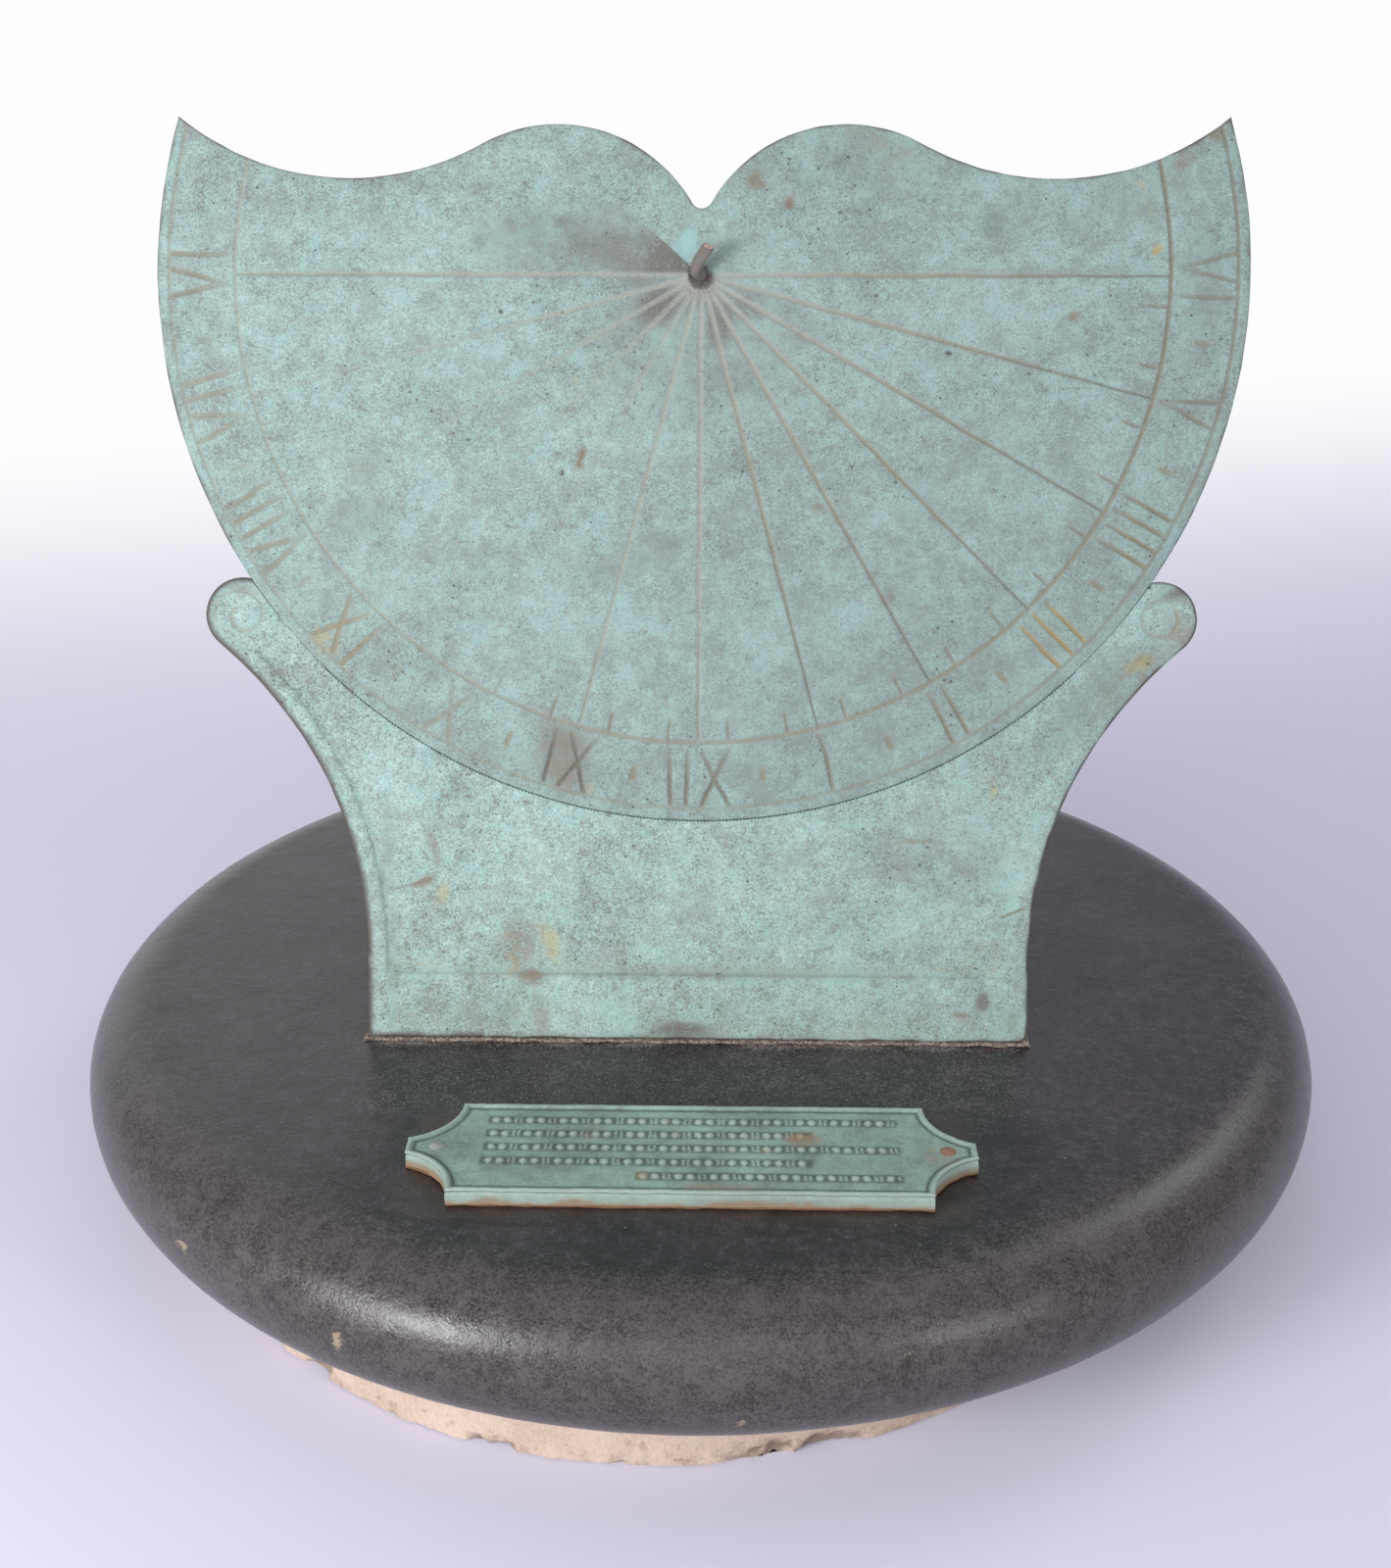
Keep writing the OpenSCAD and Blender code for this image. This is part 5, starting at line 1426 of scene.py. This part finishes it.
class SUNDIAL_OT_bedding(bpy.types.Operator):
    """Adds the resin under the stand and the mastic under the plaque"""
    bl_idname = "sundial.bedding"
    bl_label = "Resin and mastic"

    def execute(self, context):
        size = sizes(context)
        stand, plaque = size.stand, size.plaque
        rim = 0.6 * stand.bed_rim
        half, front, back = (stand.width / 2 + rim, -stand.front - rim,
                             -stand.front + stand.angle_reach + rim)
        box = [(half, front), (half, back), (-half, back), (-half, front)]
        loop = closed(*[line(a, b, 0.8) for a, b in zip(box, box[1:] + box[:1])])
        loop = loop + inward(loop) * (0.35 + 0.4 * rough(loop, 5, 81))[:, None]
        floor = slab_top(size)

        def crusty(points):
            return stand.bed - 0.12 + 0.12 * rough(points, 2.2, 84)

        plate(loop, crusty, 0, lambda points: points + (0, 0, floor), "resin_bead",
              surface("Brown resin, gritty", gritty_filler, "#453a35", "#74645a", "#b0a79d", 0.3),
              "brown_resin", "resin_bed", (), 1.6, 12, ease=0.6, wall=((0.5, 0),), sway=0.2)
        loop = plaque_loop(plaque, 0.3, 0.8)
        loop = loop + inward(loop) * (0.3 * rough(loop, 4, 87))[:, None]
        plate(loop, lambda points: plaque.mastic - 0.02 + 0 * points[:, 0], 0,
              lambda points: points + (0, -plaque.front, floor), "mastic_bead",
              surface("Mastic, oil bound", gritty_filler, "#6b4a33", "#9a7350", "#b79a78", 0.12),
              "mastic", "plaque_mastic", (), 3, 12, ease=0.15, wall=((0.5, -0.1),), sway=0.1)
        return {"FINISHED"}


def plaque_loop(plaque, inset, step):
    """Outline of the plaque drawn in by inset, with a hollow in each corner."""
    x, y = plaque.width / 2 - inset, plaque.depth / 2 - inset
    centre = (plaque.edge / 2 + plaque.corner_radius, plaque.depth / 2)
    r = plaque.corner_radius + inset
    end_y = centre[1] - math.sqrt(r * r - (centre[0] - x) ** 2)
    edge_x = centre[0] - math.sqrt(r * r - (centre[1] - y) ** 2)
    corner = arc(centre, r, heading(centre, (x, end_y)) % 360, heading(centre, (edge_x, y)) % 360, step)
    upper = np.concatenate((line((x, 0), (x, end_y), step), corner[1:],
                            line((edge_x, y), (0, y), step)[1:]))
    quarter = mirrored(upper)
    top_half = np.concatenate((upper, quarter[1:]))
    lower = (top_half * (1, -1))[::-1]
    return closed(top_half, lower)


class SUNDIAL_OT_plaque(bpy.types.Operator):
    """Adds the plaque with its raised rim and bead rows, and its two pins"""
    bl_idname = "sundial.plaque"
    bl_label = "Plaque"

    # Bead rows: where each starts and ends, and how many steps it lies behind the middle
    ROWS = ((-52, 52, 2), (-52, 30, 1), (-52, 52, 0), (-52, 30, -1), (-13, 52, -2))
    # Stains (across, back, half width, half height, turn, strength) and pits
    TAN = (
        (8, -17, 12, 2.4, 0, 0.5), (-26, 7, 4, 5, 0, 0.3), (28, 5, 5, 3.4, 0, 0.75),
        (62, -3, 6, 6, 30, 0.35), (-5, 8, 5, 6, 0, 0.25), (-12, -12, 2.4, 2.4, 0, 0.5),
        (14, 1, 16, 9, 0, 0.22))
    PITS = ((53, 4.5, 1.3, 0.4), (-62, 8, 0.5, 0.3))

    def beads(self, plaque, points):
        """Height share of the bead-and-reel rows at points."""
        share = np.zeros(len(points))
        half = plaque.row_height / 2
        for start, end, steps in self.ROWS:
            y = steps * plaque.row_step
            along = points[:, 0] - start
            near = (np.abs(points[:, 1] - y) < half + 0.4) & (along > -0.5) & (points[:, 0] < end + 0.5)
            place = along[near] / plaque.bead_step
            cell = np.floor(place)
            part = (place - cell - 0.5) * plaque.bead_step
            dy = points[near, 1] - y
            # Every third place holds a pair of thin reels instead of a bead
            bead = np.sqrt(np.clip(1 - (part / 1.0) ** 2 - (dy / half) ** 2, 0, 1))
            reel = np.clip(1.3 - np.abs(np.abs(part) - 0.62) / 0.28, 0, 1) * np.clip(
                (half - np.abs(dy)) / 0.3, 0, 1)
            share[near] = np.where(cell % 3 == 2, reel * 0.85, bead) * (along[near] > 0) * (
                points[near, 0] < end)
        return share

    def execute(self, context):
        size = sizes(context)
        plaque = size.plaque
        loop = plaque_loop(plaque, 0, 0.6)
        loop = loop + inward(loop) * (0.12 + 0.12 * rough(loop, 3.5, 91))[:, None]

        def height(points):
            gap = nearest(points, loop)
            rim = smooth_step(plaque.rim + 0.25, plaque.rim - 0.25, gap)
            groove = np.exp(-((gap - plaque.rim - 0.75) / 0.4) ** 2)
            share = self.beads(plaque, points)
            top = plaque.thickness + plaque.relief * np.maximum(rim, share) - 0.16 * groove
            top += 0.06 * grain(points, 14, 93) + 0.03 * grain(points, 3, 94)
            return top - dimples(points, self.PITS)

        def paint(points, part):
            flat, front = points[:, :2], part == 0
            gap = np.zeros(len(flat))
            gap[front] = nearest(flat[front], loop)
            share = self.beads(plaque, flat) * front
            blurred = np.zeros(len(flat))
            half = plaque.row_height / 2 + 0.6
            for start, end, steps in self.ROWS:
                beside = np.abs(flat[:, 1] - steps * plaque.row_step)
                blurred = np.maximum(blurred, smooth_step(half + 0.5, half - 0.8, beside)
                                     * (flat[:, 0] > start - 0.6) * (flat[:, 0] < end + 0.6))
            raised = np.maximum(smooth_step(0.25, 0.8, share), 0.8 * smooth_step(
                plaque.rim, plaque.rim - 0.5, gap) * front)
            sunk = np.maximum(0.8 * blurred * (share < 0.15),
                              np.exp(-((gap - plaque.rim - 0.75) / 0.45) ** 2))
            wall_low = smooth_step(2.6, 0.4, points[:, 2] + 0.9 * grain(flat, 7, 95)) * ~front
            tan = np.maximum(blot(flat, self.TAN) * front, 0.95 * wall_low)
            dark = np.where(part == 1, smooth_step(0.5, 0.1, np.abs(points[:, 2] - 3.75)), 0)
            raised = np.where(part == 1, 0.55, raised)
            return {"marks": np.stack((raised, sunk * front, tan, dark), axis=1)}

        place = slab_top(size) + plaque.mastic
        rows = [loop + inward(loop) * gap for gap in (1.0, 1.3, 1.6, 2.0, 2.5)]
        plate(loop, height, 0, lambda points: points + (0, -plaque.front, place), "plaque_plate",
              surface("Cast bronze, grey-green patina", plaque_bronze, context.scene.sundial_colours),
              "plaque_bronze", "plaque", rows, 0.62, 5, ease=0.35,
              wall=((0.1, 0.0), (0.17, 0.45), (0.26, 0.05), (0.45, 0.0), (0.7, 0.0)), sway=0.16, paint=paint)

        r, high = plaque.pin_head / 2, plaque.pin_dome
        top = place + plaque.thickness
        sphere = (r * r + high * high) / (2 * high)
        dome = [(r * k, high - sphere + math.sqrt(sphere ** 2 - (r * k) ** 2)) for k in np.linspace(1, 0, 9)]
        profile = [(0, -8), (1.1, -8), (1.2, -0.05), (r * 0.96, -0.05), (r, 0.08), *dome[1:]]
        for sign, name, material in (
                (-1, "pin_left", surface("Drawn brass, tinned", worn_metal, "#9aa19d", "#c4c3c0", 0.6, 0.4)),
                (1, "pin_right", surface("Drawn copper, dull", worn_metal, "#8f6a5c", "#b98874", 0.7, 0.45))):
            points, faces = turned(profile, 28)
            above = points[:, 2] > 0
            points[:, 2] += np.where(above, 0.09 * grain(points + 7 * sign, 1.2, 97), 0)
            points = points + (sign * plaque.pin_span / 2, -plaque.front, top)
            shell(name, points, faces, material, "pin_metal", "plaque_pins")
        return {"FINISHED"}


class SUNDIAL_OT_gnomon(bpy.types.Operator):
    """Adds the bent rod and the washer behind the dial"""
    bl_idname = "sundial.gnomon"
    bl_label = "Gnomon"

    def execute(self, context):
        size = sizes(context)
        rod, dial, stand = size.gnomon, size.dial, size.stand
        back = stand.relief - dial.thickness - rod.washer_thickness
        neck = stand.relief + rod.neck
        # Shank, bend and tip along the rod's axis: (up the face, out)
        path = [(0, z) for z in np.linspace(back, neck, 14)]
        path += [(rod.bend_radius * (1 - math.cos(a)), neck + rod.bend_radius * math.sin(a))
                 for a in np.linspace(0, rod.bend, 14)[1:]]
        out = np.array((math.sin(rod.bend), math.cos(rod.bend)))
        last = np.array(path[-1])
        path = np.array(path + [tuple(last + out * k) for k in np.linspace(0, rod.tip, 12)[1:]])
        ahead = np.gradient(path, axis=0)
        ahead /= np.linalg.norm(ahead, axis=1, keepdims=True)
        count = 30
        spin = directions(count)
        up = np.array((math.sin(rod.turn), math.cos(rod.turn)))
        side = np.array((math.cos(rod.turn), -math.sin(rod.turn)))
        r = rod.diameter / 2
        rings, axis, bright = [], [], []

        def cross(centre, direction, radius, shine, middle):
            """A ring across the rod, the metal's shine there, and the axis beside it."""
            along = centre[0] + np.sin(spin) * radius * direction[1]
            lift = centre[1] - np.sin(spin) * radius * direction[0]
            rings.append(np.column_stack((np.cos(spin)[:, None] * side * radius + along[:, None] * up, lift)))
            axis.append(np.tile((*(middle[0] * up), middle[1]), (count, 1)))
            bright.append(np.full(count, shine))

        # Peened tail, rod and cut end
        for share in (0.15, 0.4, 0.62, 0.8, 0.93, 1.0):
            swell = math.sqrt(1 - (1 - share) ** 2)
            cross((0, back - 1.5 * (1 - share)), (0, 1), 0.9 * rod.diameter * swell, 0.2, (0, 0))
        for centre, direction in zip(path, ahead):
            cross(centre, direction, r, 0, centre)
        tip, way = path[-1], ahead[-1]
        for share, lift in ((0.97, 0.12), (0.85, 0.22), (0.5, 0.26), (0.2, 0.27)):
            cross(tip + way * (lift - 0.27), way, r * share, 1 if share < 0.9 else 0.7, tip)
        points, shine = np.concatenate(rings), np.concatenate(bright)
        dented = 0.07 * grain(points, 1.8, 101) + 0.04 * grain(points, 0.7, 102)
        away = points - np.concatenate(axis)
        away /= np.maximum(np.linalg.norm(away, axis=1, keepdims=True), 1e-6)
        points = points + away * np.minimum(dented, 0.02)[:, None]
        # Bent by hand: past the dial the rod bulges to the left, and its end leans right
        share = np.clip((points[:, 2] - stand.relief) / (path[-1, 1] - stand.relief), 0, 1)
        points[:, 0] += share * share - rod.sway * np.sin(math.pi * share)
        marks = np.stack((shine * smooth_step(-0.4, 0.5, grain(points, 1.1, 104) + shine - 0.3),
                          shine * 0, shine * 0, shine * 0 + 1), axis=1)
        shell("gnomon", on_face(size)(points), tube_faces(len(rings), count),
              surface("Bronze rod, bent and cut", worn_metal, "#7b756e", "#e2c2b0", 0.35, 0.4, 0.05),
              "gnomon_bronze", "gnomon_rod", {"marks": marks})
        eased_copy("gnomon_washer", "rod_washer", fixing_bronze(), 0.15)
        return {"FINISHED"}


class SUNDIAL_OT_fixings(bpy.types.Operator):
    """Adds the foot angle, the anchors with their nuts and the screws"""
    bl_idname = "sundial.fixings"
    bl_label = "Fixings"

    # Pitch and depth of the thread
    PITCH, THREAD_DEPTH = 1.0, 0.3

    def execute(self, context):
        bronze = fixing_bronze()
        eased_copy("foot_angle", "angle", cast_bronze(context), 0.8)
        for node, name, eased in (("stud_washers", "anchor_washers", 0.18),
                                  ("web_screws", "web_screw_heads", 0.22),
                                  ("lap_screws", "lap_screw_heads", 0.18)):
            eased_copy(node, name, bronze, eased)
        low, high = (corner * 1000 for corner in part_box("anchor_studs"))
        nut_low, nut_high = (corner * 1000 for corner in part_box("stud_nuts"))
        r, half_flat = (high.y - low.y) / 2, (nut_high.y - nut_low.y) / 2
        studs, nuts = [], []
        for k in range(3):
            place = (low.x + r + k * (high.x - low.x - 2 * r) / 2, (low.y + high.y) / 2, 0)
            studs.append(self.stud(place, r, low.z, nut_low.z - 8, high.z))
            nuts.append(self.nut(place, half_flat, r, nut_low.z, nut_high.z))
        shell("studs", *merged(studs), bronze, "fixing_bronze", "anchor_studs")
        shell("nuts", *merged(nuts), bronze, "fixing_bronze", "stud_nuts", crease=25)
        return {"FINISHED"}

    def stud(self, place, r, bottom, thread_from, top):
        """Threaded stud with an eased end."""
        spin = directions(36)
        rings = []
        for z in (bottom, bottom + 1, *np.arange(thread_from, top - 0.4, self.PITCH / 8)):
            phase = (z / self.PITCH - spin / (2 * math.pi)) % 1
            depth = np.where(z > thread_from, self.THREAD_DEPTH * (1 - np.abs(2 * phase - 1)), 0)
            rings.append(level_ring(r - 0.02 - depth, spin, z))
        rings += [level_ring(r * share, spin, z) for share, z in ((0.86, top - 0.1), (0.55, top), (0.2, top))]
        return np.concatenate(rings) + place, tube_faces(len(rings), len(spin))

    def nut(self, place, half_flat, bore, bottom, top):
        """Hexagon nut with chamfered corners. Its flats face front and back, as on the frame's nuts."""
        spin = directions(72)
        corner = (np.degrees(spin) - 90) % 60
        edge = half_flat / np.cos(np.radians(np.minimum(corner, 60 - corner)))
        rings = []
        steps = (0.0, 0.12, 0.6, 0.85, 1.0)
        for side, z, shares in ((-1, bottom, steps), (1, top, steps[::-1])):
            for k in shares:
                radius = bore + 0.02 + (edge - bore - 0.02) * k
                fall = np.maximum(0, radius - half_flat * 0.96) * 0.55 + (0.35 if k == 0 else 0)
                rings.append(level_ring(radius, spin, z - side * fall))
        count, levels = len(spin), len(rings)
        faces = [(k * count + (i + 1) % count, (k + 1) % levels * count + (i + 1) % count,
                  (k + 1) % levels * count + i, k * count + i)
                 for k in range(levels) for i in range(count)]
        return np.concatenate(rings) + place, faces


class SUNDIAL_PT_panel(bpy.types.Panel):
    """Sizes, colours and building steps of the sundial"""
    bl_label = "Sundial"
    bl_idname = "SUNDIAL_PT_panel"
    bl_space_type = "VIEW_3D"
    bl_region_type = "UI"
    bl_category = "Sundial"

    def draw(self, context):
        for key, _ in GROUPS:
            box = self.layout.box()
            group = getattr(context.scene, key)
            box.label(text=group.bl_rna.description)
            for name in group.__annotations__:
                box.prop(group, name)
        for operator in OPERATORS:
            self.layout.operator(operator.bl_idname)


GROUPS = (("sundial_base", BaseSizes), ("sundial_stand", StandSizes), ("sundial_dial", DialSizes),
          ("sundial_gnomon", GnomonSizes), ("sundial_plaque", PlaqueSizes), ("sundial_colours", Colours))
OPERATORS = (SUNDIAL_OT_stage, SUNDIAL_OT_base, SUNDIAL_OT_bedding, SUNDIAL_OT_fixings,
             SUNDIAL_OT_stand, SUNDIAL_OT_dial, SUNDIAL_OT_gnomon, SUNDIAL_OT_plaque)


def register():
    for key, group in GROUPS:
        bpy.utils.register_class(group)
        setattr(bpy.types.Scene, key, PointerProperty(type=group))
    for item in (*OPERATORS, SUNDIAL_PT_panel):
        bpy.utils.register_class(item)


def unregister():
    for item in (SUNDIAL_PT_panel, *reversed(OPERATORS)):
        bpy.utils.unregister_class(item)
    for key, group in reversed(GROUPS):
        delattr(bpy.types.Scene, key)
        bpy.utils.unregister_class(group)


def main():
    register()
    for operator in OPERATORS:
        group, step = operator.bl_idname.split(".")
        getattr(getattr(bpy.ops, group), step)()


if __name__ == "__main__":
    main()
